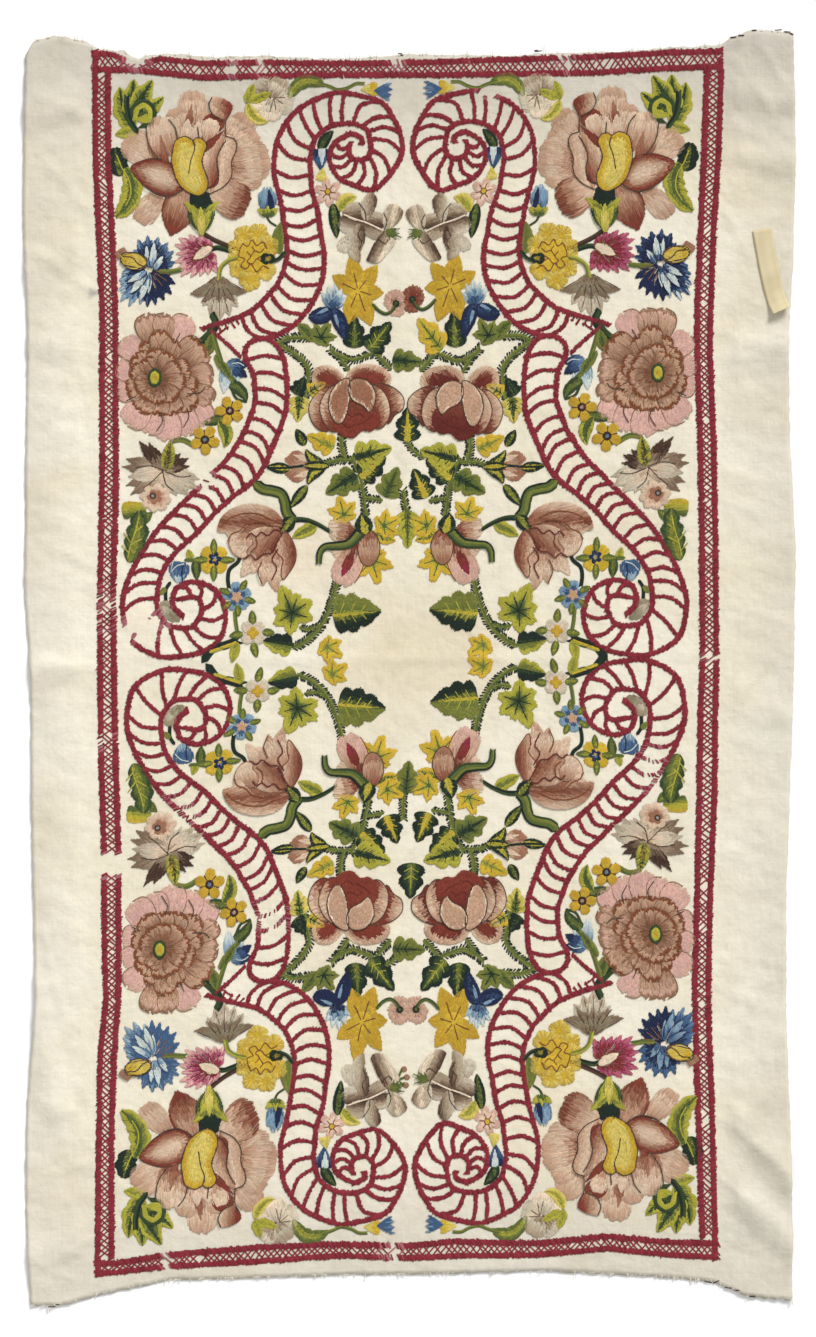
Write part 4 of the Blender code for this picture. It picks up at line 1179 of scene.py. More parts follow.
def marigold(n):
    for right, down, size, turn in [(244, 236, 10.5, 0), (258, 234, 11, 20), (269, 246, 11, 40), (267, 258, 9, 0),
                                    (265, 270, 11.5, 0), (250, 281, 11, 30), (238, 270, 9, 0), (237, 259, 10, 10),
                                    (236, 248, 9, 0)]:
        n.flower((right, down), size, 5, ((0, "gold"), (0.7, "amber"), (0.85, "gold_light")), turn=turn, core=0.84,
                 roundness=2.5, level=1)
    n.bloom((253, 257), ((0, "gold"),), core=17, level=2, saw=(18, 0.12))
    for points in ([(240, 250), (243, 244), (248, 247), (252, 240), (257, 246), (263, 242), (267, 249)],
                   [(240, 250), (239, 257), (245, 259), (241, 266), (247, 269), (251, 264), (257, 272), (263, 266),
                    (269, 269)],
                   [(247, 252), (251, 257), (247, 262), (253, 264), (257, 259), (262, 262)],
                   [(251, 257), (255, 251), (260, 253), (264, 249)], [(255, 251), (252, 247)], [(257, 259), (262, 256)]):
        n.line(points, "rust", 4, 1.2, 2.4)
    n.bloom((269, 259), ((0, "gold"), (0.45, "forest"), (0.7, "pine")), [(180, 8, 80, 3), (0, 6, 80, 3)], core=4.5,
            level=5)
    n.stem([(285, 253), (279, 259), (272, 262)], 3.6, "forest", "pine", level=4)


def thistle(n):
    tone = ((0, "magenta"), (0.35, "magenta"), (0.62, "cerise"), (0.85, "pink"))
    # (heading, reach)
    for i, (heading, reach) in enumerate([(279, 14), (250, 19), (226, 25), (208, 31), (194, 33), (178, 30), (164, 34),
                                          (151, 34), (138, 35), (123, 29), (106, 24), (86, 22), (63, 22), (43, 13)]):
        way = np.array([cos(radians(heading)), sin(radians(heading))])
        n.petal(np.array([207, 253]) + way * 2, np.array([207, 253]) + way * reach, 5, tone, form="leaf",
                level=1 + 0.5 * (i % 2), edge=0.9)
        n.line([np.array([207, 253]) + way * 7, np.array([207, 253]) + way * reach * 0.66], "crimson_deep", 2.6, 1.2, 5)
    n.petal((212, 247), (193, 260), 5.4, ((0, "shell"),), form="leaf", level=4, rim="rust")
    n.stem([(210, 250), (216, 248), (223, 249), (233, 252)], 4.6, "forest", "pine", level=1)


def cornflower(n):
    upper = ((0, "navy"), (0.55, "navy"), (0.76, "blue"), (0.93, "sky"))
    left = ((0, "navy"), (0.42, "navy"), (0.62, "blue"), (0.86, "sky"), (0.98, "mist"))
    night = ((0, "bark"), (0.2, "navy"), (0.9, "navy"), (0.97, "blue"))
    # (heading, reach, tone)
    fan = [(232, 24, upper), (250, 31, upper), (268, 33, upper), (287, 33, upper), (306, 32, upper), (325, 30, upper),
           (346, 27, upper), (172, 27, left), (158, 32, left), (144, 37, left), (131, 43, left), (118, 42, left),
           (104, 36, left), (92, 38, night), (79, 36, night), (64, 35, night), (48, 34, night), (30, 30, night),
           (10, 25, night)]
    middle = np.array([149, 269])
    for heading, reach, tone in fan:
        for turn, short, half, level in ((0, 1.0, 5.2, 1.4), (8, 0.86, 4.2, 1)):
            way = np.array([cos(radians(heading + turn)), sin(radians(heading + turn))])
            n.petal(middle + way * 4, middle + way * reach * short, half, tone, form="leaf", level=level, edge=0.2)
        for turn in (-7, 7):
            way = np.array([cos(radians(heading + turn)), sin(radians(heading + turn))])
            n.line([middle + way * 8, middle + way * reach * 0.72], "navy", 2, 1.3, 5)
    for heading in (16, 34, 52, 70, 86):
        way = np.array([cos(radians(heading)), sin(radians(heading))])
        n.line([middle + way * 9, middle + way * 21], "fawn_dark", 3.4, 1.0, 5)
    for base, tip, half in [((150, 268), (146, 246), 4), ((152, 268), (154, 243), 4.4), ((154, 270), (163, 256), 4),
                            ((147, 272), (128, 283), 4), ((147, 274), (131, 294), 4.6), ((149, 275), (141, 301), 4.6),
                            ((150, 273), (149, 294), 3.6)]:
        n.petal(base, tip, half * 0.85, ((0, "blue"), (0.25, "sky"), (0.5, "mist")), form="leaf", level=4.2,
                rim=("navy", "left"))
    n.stem([(160, 272), (170, 272), (181, 270)], 4.4, "olive", "green", level=3)
    n.petal((147, 260), (122, 255), 8.5, ((0, "amber"), (0.3, "gold_light"), (0.7, "gold")), form="oval", level=6,
            bend=-4, rim="umber")
    n.petal((146, 268), (121, 263), 7, ((0, "amber"), (0.4, "gold_light"), (0.8, "gold")), form="oval", level=5.6,
            bend=5, rim="umber")
    n.line([(124, 257), (133, 258), (138, 264), (146, 268)], "umber", 8)
    n.petal((126, 250), (116, 257), 4, ((0, "fawn"),), form="bar", level=5)


def hanging_tulip(n):
    pale = ((0, "stone_dark"), (0.3, "taupe"), (0.6, "stone_pale"), (0.92, "stone"))
    cap = ((0, "umber"), (0.2, "stone_dark"), (0.5, "taupe"), (0.85, "stone_dark"))
    # (tip, half width, bend, tone, level)
    for tip, half, bend, tone, level in [
            ((203, 306), 7, 0, pale, 1), ((238, 307), 7, 0, pale, 1), ((210, 315), 7, 0, pale, 1.3),
            ((230, 316), 7, 0, pale, 1.3), ((220, 321), 7.5, 0, pale, 1.6), ((190, 294), 6, -6, cap, 3),
            ((247, 292), 6, 6, cap, 3), ((202, 302), 5.6, -3, cap, 3.3), ((235, 301), 5.6, 3, cap, 3.3),
            ((211, 299), 4.6, -1, cap, 3.5), ((226, 299), 4.6, 1, cap, 3.5), ((219, 302), 5, 0, cap, 3.7)]:
        base = (219, 276) if level >= 3 else (219, 284)
        n.petal(base, tip, half, tone, bend=bend, form="leaf", level=level, edge=0.4, teeth=2, depth=0.06)
        n.line([np.array(base) * 0.5 + np.array(tip) * 0.5, np.array(base) * 0.12 + np.array(tip) * 0.88],
               "umber" if level >= 3 else "stone_dark", level + 0.8, 1.0, 4)
    n.stem([(237, 258), (228, 261), (221, 268), (219, 280)], 3.8, "olive", "lime", level=4)


def tip_leaves(n):
    """The leaves where the two scrolls meet."""
    n.stem([(213, 314), (216, 322), (211, 333), (201, 343), (192, 350)], 8.5, "pine", "forest", level=0.6)
    n.leaf((213, 334), (203, 358), 6, GREEN_LEAF, bend=-2, level=0.6)
    n.stem([(213, 334), (217, 348), (222, 364)], 4.4, "green", "olive", level=0.7)


def volute_filler(n):
    n.leaf((320, 151), (334, 131), 5.5, ((0, "olive"), (0.3, "forest"), (0.7, "pine")), bend=-2, level=1)
    n.petal((321, 171), (320, 149), 9, ((0, "navy"), (0.5, "blue"), (0.75, "navy")), form="fan", level=1)
    n.petal((322, 166), (322, 149), 3.6, ((0, "sky"), (0.4, "mist")), form="fan", level=2)
    n.petal((323, 168), (321, 181), 5.5, ((0, "lime"), (0.5, "gold_light")), form="fan", level=1.5)
    n.flower((328, 193), 14.5, 6, ((0, "rose"), (0.35, "shell"), (0.8, "blush")), turn=20, level=1)
    for heading in range(10, 360, 60):
        n.line([(328 + 3 * cos(radians(heading)), 192 + 3 * sin(radians(heading))),
                (328 + 7.5 * cos(radians(heading)), 192 + 7.5 * sin(radians(heading)))], "rust", 3, 1.1, 5)
    n.bloom((328, 192), ((0, "gold"),), core=3, level=3, rim="rust")
    n.leaf((340, 211), (357, 197), 7.5, ((0, "olive"), (0.4, "lime"), (0.7, "gold_light")), bend=-4, level=1)
    n.leaf((333, 204), (337, 239), 6, ((0, "olive"), (0.3, "green"), (0.5, "pine")), level=1)


def lily(n):
    deep = ((0, "stone_pale"), (0.35, "stone"), (0.6, "stone_dark"), (0.85, "umber"))
    roll = ((0, "stone_pale"), (0.45, "stone"), (0.72, "stone_dark"), (0.9, "umber"))
    n.petal((352, 232), (341, 252), 7, ((0, "stone"), (0.5, "stone_pale")), form="drop", level=0.8)
    n.patch([(343, 216), (352, 220), (362, 223), (360, 233), (350, 235), (340, 230), (338, 222)], 20,
            ((0, "umber"), (0.25, "stone_dark"), (0.5, "stone"), (0.72, "stone_pale")), level=1, toward=105)
    n.patch([(343, 211), (349, 204), (358, 203), (363, 212), (363, 221), (352, 217), (344, 215)], 165, deep, level=2,
            toward=85)
    n.patch([(363, 219), (361, 208), (364, 198), (371, 193), (377, 199), (375, 209), (369, 220)], 100, roll, level=3,
            toward=0)
    n.patch([(364, 219), (371, 213), (381, 213), (388, 219), (386, 227), (375, 227), (365, 223)], 20, deep, level=2,
            toward=95)
    n.patch([(363, 222), (373, 227), (384, 231), (383, 239), (372, 239), (363, 232)], 30,
            ((0, "umber"), (0.3, "stone_dark"), (0.6, "stone")), level=1.5, toward=90)
    n.patch([(383, 223), (384, 212), (390, 205), (397, 206), (403, 212), (400, 220), (393, 227), (387, 230)], 110,
            ((0, "stone_pale"), (0.35, "stone"), (0.5, "shell"), (0.72, "stone"), (0.86, "stone_dark")), level=3,
            toward=5)
    n.patch([(357, 225), (364, 227), (365, 240), (361, 251), (360, 262), (351, 258), (348, 246), (351, 234)], 97, roll,
            level=3, toward=-5)
    n.patch([(385, 231), (394, 232), (395, 243), (388, 253), (378, 263), (367, 260), (372, 248), (378, 238)], 115,
            ((0, "stone_pale"), (0.3, "shell"), (0.5, "stone"), (0.75, "stone_dark"), (0.9, "umber")), level=3,
            toward=205)
    n.line([(344, 215), (354, 219), (363, 222)], "shell", 5, 1.9)
    n.line([(364, 222), (373, 226), (383, 231)], "shell", 5, 1.9)
    for points in ([(359, 203), (365, 212), (366, 221)], [(384, 214), (387, 222), (384, 231)],
                   [(362, 226), (358, 236), (362, 242), (359, 250)], [(378, 239), (385, 244), (388, 240)]):
        n.line(points, "umber", 5, 1.0, 3)
    for tip in [(400, 229), (399, 234), (396, 240), (390, 240), (401, 238)]:
        n.petal((387, 231), tip, 1.5, ((0, "olive"), (0.5, "green")), form="spear", level=5)


def star_flower(n):
    for tip, half in [((351, 255), 9), ((377, 266), 9), ((383, 293), 9), ((371, 325), 10), ((348, 324), 10),
                      ((333, 276), 9)]:
        n.petal((358, 292), tip, half, ((0, "gold"), (0.6, "amber")), form="leaf", level=1)
    n.bloom((358, 292), ((0, "gold"),), core=10, level=1.5)
    for tip in [(343, 284), (354, 274), (366, 281), (371, 295), (365, 311), (351, 307)]:
        run = (tip[0] - 358, tip[1] - 291)
        n.line([(358 + run[0] * 0.16, 291 + run[1] * 0.16), tip], "rust", 3, 1.25, 4)


def blue_trefoil(n):
    for i, tip in enumerate([(322, 293), (328, 287), (335, 284), (342, 289), (346, 298)]):
        n.petal((333, 309), tip, 4.4, ((0, "navy"), (0.3, "blue"), (0.55, "sky"), (0.85, "mist")), form="leaf",
                level=1 + 0.3 * (i % 2))
    n.leaf((332, 310), (309, 316), 8.5, ((0, "blue"), (0.35, "navy")), bend=-3, level=2, form="oval")
    n.leaf((333, 309), (345, 341), 7.5, ((0, "blue"), (0.35, "navy")), bend=-2, level=2)
    n.petal((328, 309), (317, 314), 1.8, ((0, "sky"),), form="spear", level=3.2)
    n.petal((335, 315), (339, 328), 1.8, ((0, "sky"),), form="spear", level=3.2)


def axis_flower(n):
    red = n.quarter == "upper_right"
    tone = ((0, "umber"), (0.2, "brick"), (0.6, "russet"), (0.9, "rose_tan")) if red else (
        (0, "umber"), (0.2, "fawn"), (0.5, "blush"), (0.85, "rose"))
    for tip, half in [((384, 299), 5.5), ((388, 292), 5.5), ((395, 289), 5.5), ((402, 292), 5.5), ((385, 306), 4.5),
                      ((404, 300), 5), ((392, 317), 5), ((400, 317), 5.5), ((404, 310), 5)]:
        n.petal((396, 303), tip, half, tone, level=1, teeth=2, depth=0.12, edge=0.4)
    n.bloom((396, 304), ((0, "olive"), (0.5, "pine")), core=3.6, level=2)
    n.stem([(373, 305), (379, 311), (386, 314), (392, 311), (395, 306)], 3.2, "green", "forest", level=2)


def ivy(n, base, tip, half, bands, level=1, lean=(1, 1), bend=0.0, lobes=2.5, depth=0.28):
    n.leaf(base, tip, half, bands, form="heart", level=level, lobes=lobes, depth=depth, lean=lean, bend=bend)


def upper_ivy(n):
    olive = ((0, "pine"), (0.25, "forest"), (0.45, "green"), (0.72, "olive"))
    night = ((0, "lime"), (0.16, "green"), (0.35, "forest"), (0.65, "pine"))
    right = n.quarter == "upper_right"
    n.leaf((317, 341), (297, 323), 7, ((0, "forest"), (0.4, "green"), (0.7, "olive")), level=1, lobes=2)
    n.maple((321, 338), 300, 18, olive, level=1.2, veins="pine")
    n.spade((354.5, 336), 270, 20, night, level=1, veins="olive", narrow=0.9)
    n.spade((377, 340), 308, 22, GOLD_LEAF if right else ((0, "lime"), (0.2, "green"), (0.5, "forest"), (0.75, "pine")),
            level=1.3, veins="forest" if right else "lime", narrow=0.95)
    n.thorny([(279, 343), (290, 338), (311, 338)], 6)
    n.thorny([(281, 345), (292, 352), (303, 361), (309, 371), (307, 385), (305, 401)], 5.5)
    n.thorny([(331, 350), (340, 358), (349, 370)], 5.5)
    n.thorny([(338, 355), (352, 360), (366, 356), (376, 352)], 5.5)
    n.thorny([(376, 353), (383, 361), (391, 369)], 5.5)
    n.spade((299, 388), 300, 12, ((0, "green"), (0.4, "pine")), level=1, narrow=1.1)
    n.spade((315, 389), 330, 12, ((0, "forest"), (0.35, "lime"), (0.7, "gold")), level=1, narrow=1.1)
    n.spade((299, 406), 95, 15.5, ((0, "pine"), (0.3, "green"), (0.6, "lime"), (0.85, "gold_light")), level=1.2,
            narrow=1.1)


def chrysanthemum(n):
    pink = ((0, "fawn"), (0.3, "blush"), (0.6, "pink"))
    tan = ((0, "fawn_dark"), (0.35, "fawn"), (0.65, "rose"), (0.9, "blush"))
    brown = ((0, "umber"), (0.22, "fawn_dark"), (0.48, "fawn"), (0.78, "rose"))
    uneven = (1.1, 0.9, 1.0, 1.16, 0.94)
    # (level, tone, wool of the tips, wool of the sides, rows of base right, base down, tip right, tip down, half width)
    for level, tone, tips, sides, rows in [
            (1, pink, "blush", "fawn", [(170, 352, 188, 316, 14), (150, 362, 121, 341, 13), (146, 376, 117, 366, 12.5),
                                        (147, 388, 117, 391, 12.5), (150, 396, 128, 426, 15),
                                        (156, 400, 149, 435, 13), (166, 400, 169, 442, 14), (178, 396, 190, 436, 13),
                                        (184, 392, 208, 424, 14)]),
            (1.5, tan, "fawn", "fawn_dark", [(186, 386, 214, 401, 11), (176, 366, 210, 354, 12),
                                             (182, 378, 214, 376, 14), (164, 350, 164, 313, 11),
                                             (158, 352, 145, 314, 14)]),
            (2, brown, "rust", "fawn_dark", [(172, 372, 199, 344, 15), (164, 368, 176, 336, 10),
                                             (158, 368, 146, 340, 10.5), (160, 368, 161, 335, 11),
                                             (156, 374, 132, 354, 12), (152, 382, 129, 392, 12),
                                             (160, 390, 158, 419, 11), (154, 388, 139, 412, 12),
                                             (168, 384, 191, 406, 12), (164, 388, 176, 417, 12),
                                             (168, 378, 195, 389, 11), (168, 374, 194, 368, 12)]),
            (3, brown, "rust", "fawn_dark", [(158, 372, 155, 350, 9), (157, 374, 142, 357, 9),
                                             (160, 374, 171, 353, 9), (161, 380, 183, 383, 9),
                                             (161, 377, 182, 365, 9), (160, 383, 175, 399, 9.5),
                                             (154, 384, 142, 401, 8.5), (157, 385, 158, 405, 9),
                                             (152, 377, 133, 370, 9), (152, 381, 133, 387, 9)])]:
        for index, (right, down, tip_right, tip_down, half) in enumerate(rows):
            reach = uneven[index % len(uneven)] if level > 1.5 else 1
            tip = (right + (tip_right - right) * reach, down + (tip_down - down) * reach)
            n.petal((right, down), tip, half, tone, level=level, teeth=3, depth=0.08, tips=tips,
                    rim=(sides, "left"))
    for points in ([(160, 413), (163, 421), (157, 431)], [(187, 408), (189, 417), (184, 427)],
                   [(127, 401), (135, 397)], [(188, 394), (200, 393), (205, 388)], [(175, 343), (180, 334)]):
        n.line(points, "umber", 5, 1.1, 3)
    n.bloom((155, 378), ((0, "forest"), (0.9, "forest")), core=7.4, level=6, squash=(0.9, 1.3))
    n.bloom((155, 378), ((0, "ochre"), (0.5, "gold"), (0.8, "lime")), core=5.2, level=6.6, squash=(0.9, 1.3))


def blue_bell(n):
    for i, (tip, half) in enumerate([((247, 366), 6.5), ((247, 377), 6.5), ((239, 388), 6), ((224, 393), 6.5)]):
        n.petal((227, 364), tip, half, ((0, "sky"), (0.3, "blue"), (0.75, "navy")) if i < 2 else
                ((0, "blue"), (0.35, "sky"), (0.8, "mist")), form="leaf", level=1 + 0.3 * (i % 2), edge=0.4)
    n.line([(232, 364), (239, 363), (244, 366)], "mist", 3, 1.1)
    n.stem([(216, 357), (220, 366), (226, 373), (234, 381)], 4.8, "green", "olive", level=3)
    n.leaf((221, 362), (231, 379), 4.4, GREEN_LEAF, level=3.4)
    n.leaf((228, 384), (247, 402), 6.5, ((0, "olive"), (0.35, "green"), (0.6, "forest")), bend=-4, level=1, lobes=2,
           depth=0.15)


def small_flowers(n):
    """Two yellow flowers with their leaves, between the great bloom and the scroll."""
    for centre, size, turn, eye in [((230, 411), 14.5, 36, "pink"), ((205, 440), 15, 14, "sky")]:
        n.flower(centre, size, 5, GOLD_PETAL, turn=turn, core=0.3, roundness=3, level=2)
        for i in range(5):
            heading = radians(turn + 36 + 72 * i)
            n.line([(centre[0] + 3 * cos(heading), centre[1] + 3 * sin(heading)),
                    (centre[0] + 10 * cos(heading), centre[1] + 10 * sin(heading))], "umber", 3, 1.3, 4)
        n.bloom(centre, ((0, eye), (0.66, "bark")), core=4.4, level=4)
    n.leaf((224, 418), (201, 424), 5, ((0, "olive"), (0.5, "green"), (0.8, "forest")), level=1)
    n.leaf((219, 421), (224, 448), 7, ((0, "forest"), (0.5, "green"), (0.75, "lime")), bend=-5, level=1)
    n.stem([(172, 441), (183, 440), (196, 447)], 5, "green", "olive", level=1)
    n.stem([(246, 402), (236, 398), (230, 384)], 2.4, "forest", level=0.8)
    n.leaf((166, 470), (171, 441), 7, ((0, "gold"), (0.3, "pine"), (0.6, "green"), (0.8, "lime")), level=3)


def mallow(n):
    beige = ((0, "stone_dark"), (0.15, "rose_pale"), (0.6, "stone_pale"), (0.9, "stone"))
    grey = ((0, "rose_pale"), (0.35, "stone"), (0.75, "stone_dark"))
    dark = ((0, "stone"), (0.35, "stone_dark"), (0.55, "bark"), (0.9, "umber"))
    # (tip, half width, tone, level)
    for tip, half, tone, level in [((126, 459), 8, grey, 1.4), ((123, 467), 7, grey, 1.2), ((128, 477), 8, beige, 1.5),
                                   ((126, 486), 7, grey, 1.2), ((131, 495), 7, grey, 1.4), ((143, 497), 7, beige, 1.2),
                                   ((200, 479), 7, beige, 1.2), ((199, 489), 8, beige, 1.5), ((190, 496), 8, beige, 1.3),
                                   ((177, 496), 7, beige, 1.1), ((139, 441), 6, dark, 2), ((149, 443), 6, dark, 2.2),
                                   ((157, 449), 5, dark, 2), ((173, 453), 4.5, dark, 2), ((181, 453), 4.5, dark, 2.3),
                                   ((189, 458), 5, dark, 2.1), ((190, 466), 4.5, dark, 1.9)]:
        n.petal((164, 471), tip, half, tone, form="leaf", level=level, teeth=2, depth=0.12)
    n.bloom((164, 471), ((0, "rose_pale"), (0.5, "stone")), core=20, level=0.9, saw=(15, 0.25))
    for points in ([(164, 470), (152, 482), (144, 488)], [(163, 472), (166, 484), (174, 491)],
                   [(164, 470), (150, 466), (136, 468)], [(166, 472), (180, 477), (191, 476)]):
        n.line(points, "umber", 3, 1.1)


def pink_round(n):
    n.flower((156, 498), 16, 8, ((0, "fawn"), (0.3, "blush"), (0.55, "rose"), (0.8, "rose_pale")), turn=10, core=0.78,
             level=2.6, squash=(1.0, 0.9))
    n.flower((155, 497), 8, 5, ((0, "fawn"), (0.6, "rose_tan")), turn=30, core=0.7, level=3)
    n.bloom((153, 496), ((0, "mist"), (0.45, "umber")), core=3.4, level=4.4)


def left_leaves(n):
    n.patch([(124, 503), (144, 504), (145, 516), (136, 515), (125, 519)], 5, ((0, "gold"), (0.5, "lime"), (0.75, "green")),
            level=1, toward=80)
    n.leaf((129, 562), (139, 511), 12, ((0, "lime"), (0.2, "olive"), (0.5, "green"), (0.85, "forest")), level=1.2,
           form="oval", lobes=4, depth=0.3, bend=3)
    n.leaf((134, 528), (153, 512), 6, ((0, "lime"), (0.3, "green")), level=1.1, lobes=2, depth=0.2)
    n.leaf((130, 545), (149, 534), 6, ((0, "lime"), (0.3, "green")), level=1.1, lobes=2, depth=0.2)
    n.line([(128, 558), (131, 545), (136, 530), (139, 518)], "lime", 3, 1.6)
    for start, end in [((129, 553), (122, 545)), ((131, 543), (124, 533)), ((131, 545), (142, 539)),
                       ((134, 533), (143, 526))]:
        n.lay([start], [end], "lime", 3, 1.4)


def acanthus(n):
    tone = ((0, "pine"), (0.25, "forest"), (0.45, "green"), (0.68, "lime"))
    n.leaf((134, 129), (120, 87), 12, tone, level=1, lobes=3, depth=0.22, bend=-3)
    n.leaf((131, 118), (134, 79), 11, tone, level=1.2, lobes=2.5, depth=0.22)
    n.leaf((130, 116), (153, 80), 11, tone, level=1.4, lobes=2.5, depth=0.22)
    n.leaf((131, 116), (164, 97), 10, tone, level=1.6, lobes=2.5, depth=0.22, bend=3)
    n.stem([(133, 118), (136, 108), (145, 104), (152, 111), (150, 122), (140, 124)], 9, "forest", "lime", level=2)
    n.stem([(137, 132), (130, 121), (127, 108), (127, 96)], 5.4, "forest", "pine", level=2.6)
    n.leaf((137, 131), (115, 135), 6, ((0, "green"), (0.5, "lime")), level=1)


def side_leaf(n):
    n.leaf((121, 176), (115, 148), 11, ((0, "lime"), (0.2, "forest"), (0.5, "pine")), level=1, lobes=2.5, depth=0.2,
           form="oval")
    n.leaf((126, 168), (116, 217), 11, ((0, "forest"), (0.3, "green"), (0.5, "olive"), (0.72, "lime")), bend=-11,
           level=1.6, lobes=4, depth=0.2, form="oval")
    n.line([(117, 156), (122, 168), (129, 180), (131, 194), (126, 206)], "lime", 3, 1.6)


def rose(n):
    crown = ((0, "brick"), (0.3, "russet"), (0.5, "rose_tan"), (0.72, "rose"), (0.9, "rose_pale"))
    side = ((0, "brick"), (0.45, "russet"), (0.62, "rose_tan"), (0.8, "rose"), (0.9, "rose_pale"))
    inner = ((0, "rose_tan"), (0.4, "rose_tan"), (0.62, "rose"), (0.8, "shell"))
    # (outline, heading of the stitches, tone, level, heading of the paler side or None, depth of the rim)
    for outline, heading, tone, level, toward, depth in [
            ([(348, 390), (342, 374), (330, 366), (317, 368), (312, 378), (317, 389), (331, 394)], 45, crown, 1, None, 10),
            ([(348, 391), (347, 375), (357, 366), (373, 365), (387, 371), (391, 382), (381, 392), (362, 394)], 130, crown,
             1.1, None, 10),
            ([(328, 387), (316, 394), (309, 407), (312, 422), (321, 431), (331, 429), (330, 412), (331, 398)], 20, side,
             1.6, 195, None),
            ([(339, 384), (327, 391), (320, 406), (323, 421), (332, 432), (342, 427), (339, 410), (341, 396)], 25, side,
             2.4, 195, None),
            ([(378, 384), (392, 387), (403, 397), (403, 409), (395, 415), (388, 424), (382, 410), (378, 396)], 160, side,
             1.6, -15, None),
            ([(370, 384), (382, 390), (389, 403), (389, 418), (380, 429), (369, 424), (370, 406), (368, 394)], 155, side,
             2.4, -15, None),
            ([(349, 379), (338, 383), (330, 395), (329, 409), (335, 422), (342, 423), (348, 410), (350, 396)], 100, inner,
             5, None, 5),
            ([(349, 384), (356, 379), (367, 381), (375, 391), (375, 402), (370, 412), (363, 406), (355, 402),
              (349, 395)], 65, inner, 5.1, None, 5)]:
        n.patch(outline, heading, tone, level=level, toward=toward, depth=depth, rim="umber" if level > 1.2 else None)
    n.patch([(337, 412), (333, 425), (341, 435), (353, 438), (362, 431), (372, 431), (380, 420), (377, 408),
             (364, 400), (352, 397), (343, 401)], 100, ((0, "oxblood"), (0.15, "russet"), (0.6, "brick")), level=3.6,
            toward=80)
    for points in ([(346, 411), (352, 417), (359, 413), (364, 417)], [(358, 425), (366, 421), (373, 415)],
                   [(342, 423), (349, 428), (355, 424)]):
        n.line(points, "oxblood", 5, 1.2, 3)


def rose_stems(n):
    right = n.quarter == "upper_right"
    lower = n.quarter.startswith("lower")
    n.thorny([(342, 434), (342, 448), (345, 460)], 6)
    n.thorny([(322, 466), (334, 461), (348, 460), (356, 461)], 5)
    n.thorny([(352, 458), (358, 470), (362, 484), (364, 498), (366, 518)], 5.5)
    n.thorny([(366, 498), (382, 500)], 4.5)
    n.spade((324, 443), 205, 18, ((0, "green"), (0.25, "lime"), (0.5, "gold")), level=1.4, veins="olive")
    n.spade((369, 454), 345, 23, IVY_LIME, level=1.6, veins="pine")
    n.spade((370, 470), 320, 20, ((0, "gold"), (0.3, "lime"), (0.5, "forest"), (0.72, "pine")), level=1.2,
            veins="lime")
    n.spade((345, 482), 148, 22, ((0, "pine"), (0.25, "forest"), (0.5, "green"), (0.75, "olive")), level=1.2,
            veins="pine")
    tone = ((0, "gold"), (0.3, "lime"), (0.45, "forest"), (0.65, "pine")) if right or lower else (
        (0, "forest"), (0.35, "green"), (0.6, "olive"))
    n.spade((390, 486), 293, 20, tone, level=1.2, veins="gold" if right or lower else "forest")


def bud_cluster(n):
    n.leaf((305, 445), (296, 429), 5.5, ((0, "lime"), (0.35, "forest"), (0.6, "pine")), level=1)
    n.petal((313, 464), (289, 455), 10, ((0, "umber"), (0.2, "rose_tan"), (0.45, "rose"), (0.8, "rose_tan")), bend=-3,
            form="drop", level=1)
    n.petal((313, 470), (289, 478), 10, ((0, "umber"), (0.2, "rose_tan"), (0.45, "rose"), (0.8, "rose_tan")), bend=3,
            form="drop", level=1)
    n.petal((309, 460), (293, 455), 3, ((0, "rose_pale"),), form="spear", level=2)
    n.petal((309, 473), (294, 477), 3, ((0, "rose_pale"),), form="spear", level=2)
    n.leaf((326, 466), (306, 449), 6, ((0, "gold"), (0.3, "lime"), (0.5, "green"), (0.75, "pine")), level=3, bend=-4)
    n.leaf((326, 467), (308, 485), 6, ((0, "gold"), (0.3, "lime"), (0.5, "green"), (0.75, "pine")), level=3, bend=4)
    n.leaf((328, 466), (303, 466), 5, ((0, "gold"), (0.3, "lime"), (0.6, "pine")), level=3.6)
    n.leaf((290, 469), (266, 467), 5.5, ((0, "gold"), (0.3, "lime"), (0.5, "forest"), (0.75, "pine")), level=1)
    n.stem([(268, 468), (285, 468), (303, 466)], 2.2, "pine", level=2)
    n.leaf((307, 486), (290, 508), 5.5, ((0, "lime"), (0.4, "green"), (0.7, "pine")), level=1)


def curled_stem(n):
    leaf = [(256, 484), (263, 489), (273, 491), (281, 494), (285, 502), (287, 512), (293, 521)]
    n.stem(leaf, 11, "pine", "forest", level=1.2)
    n.stem(leaf, 7, "green", "olive", level=1.6)
    n.leaf((293, 518), (280, 534), 7, ((0, "lime"), (0.35, "green"), (0.6, "pine")), level=3)
    n.stem([(290, 520), (305, 520), (319, 525), (332, 533)], 5.5, "forest", "pine", level=1.2, taper=0.6)
    n.leaf((317, 525), (292, 538), 7, ((0, "green"), (0.3, "olive"), (0.6, "lime")), level=1, lobes=2, depth=0.2)


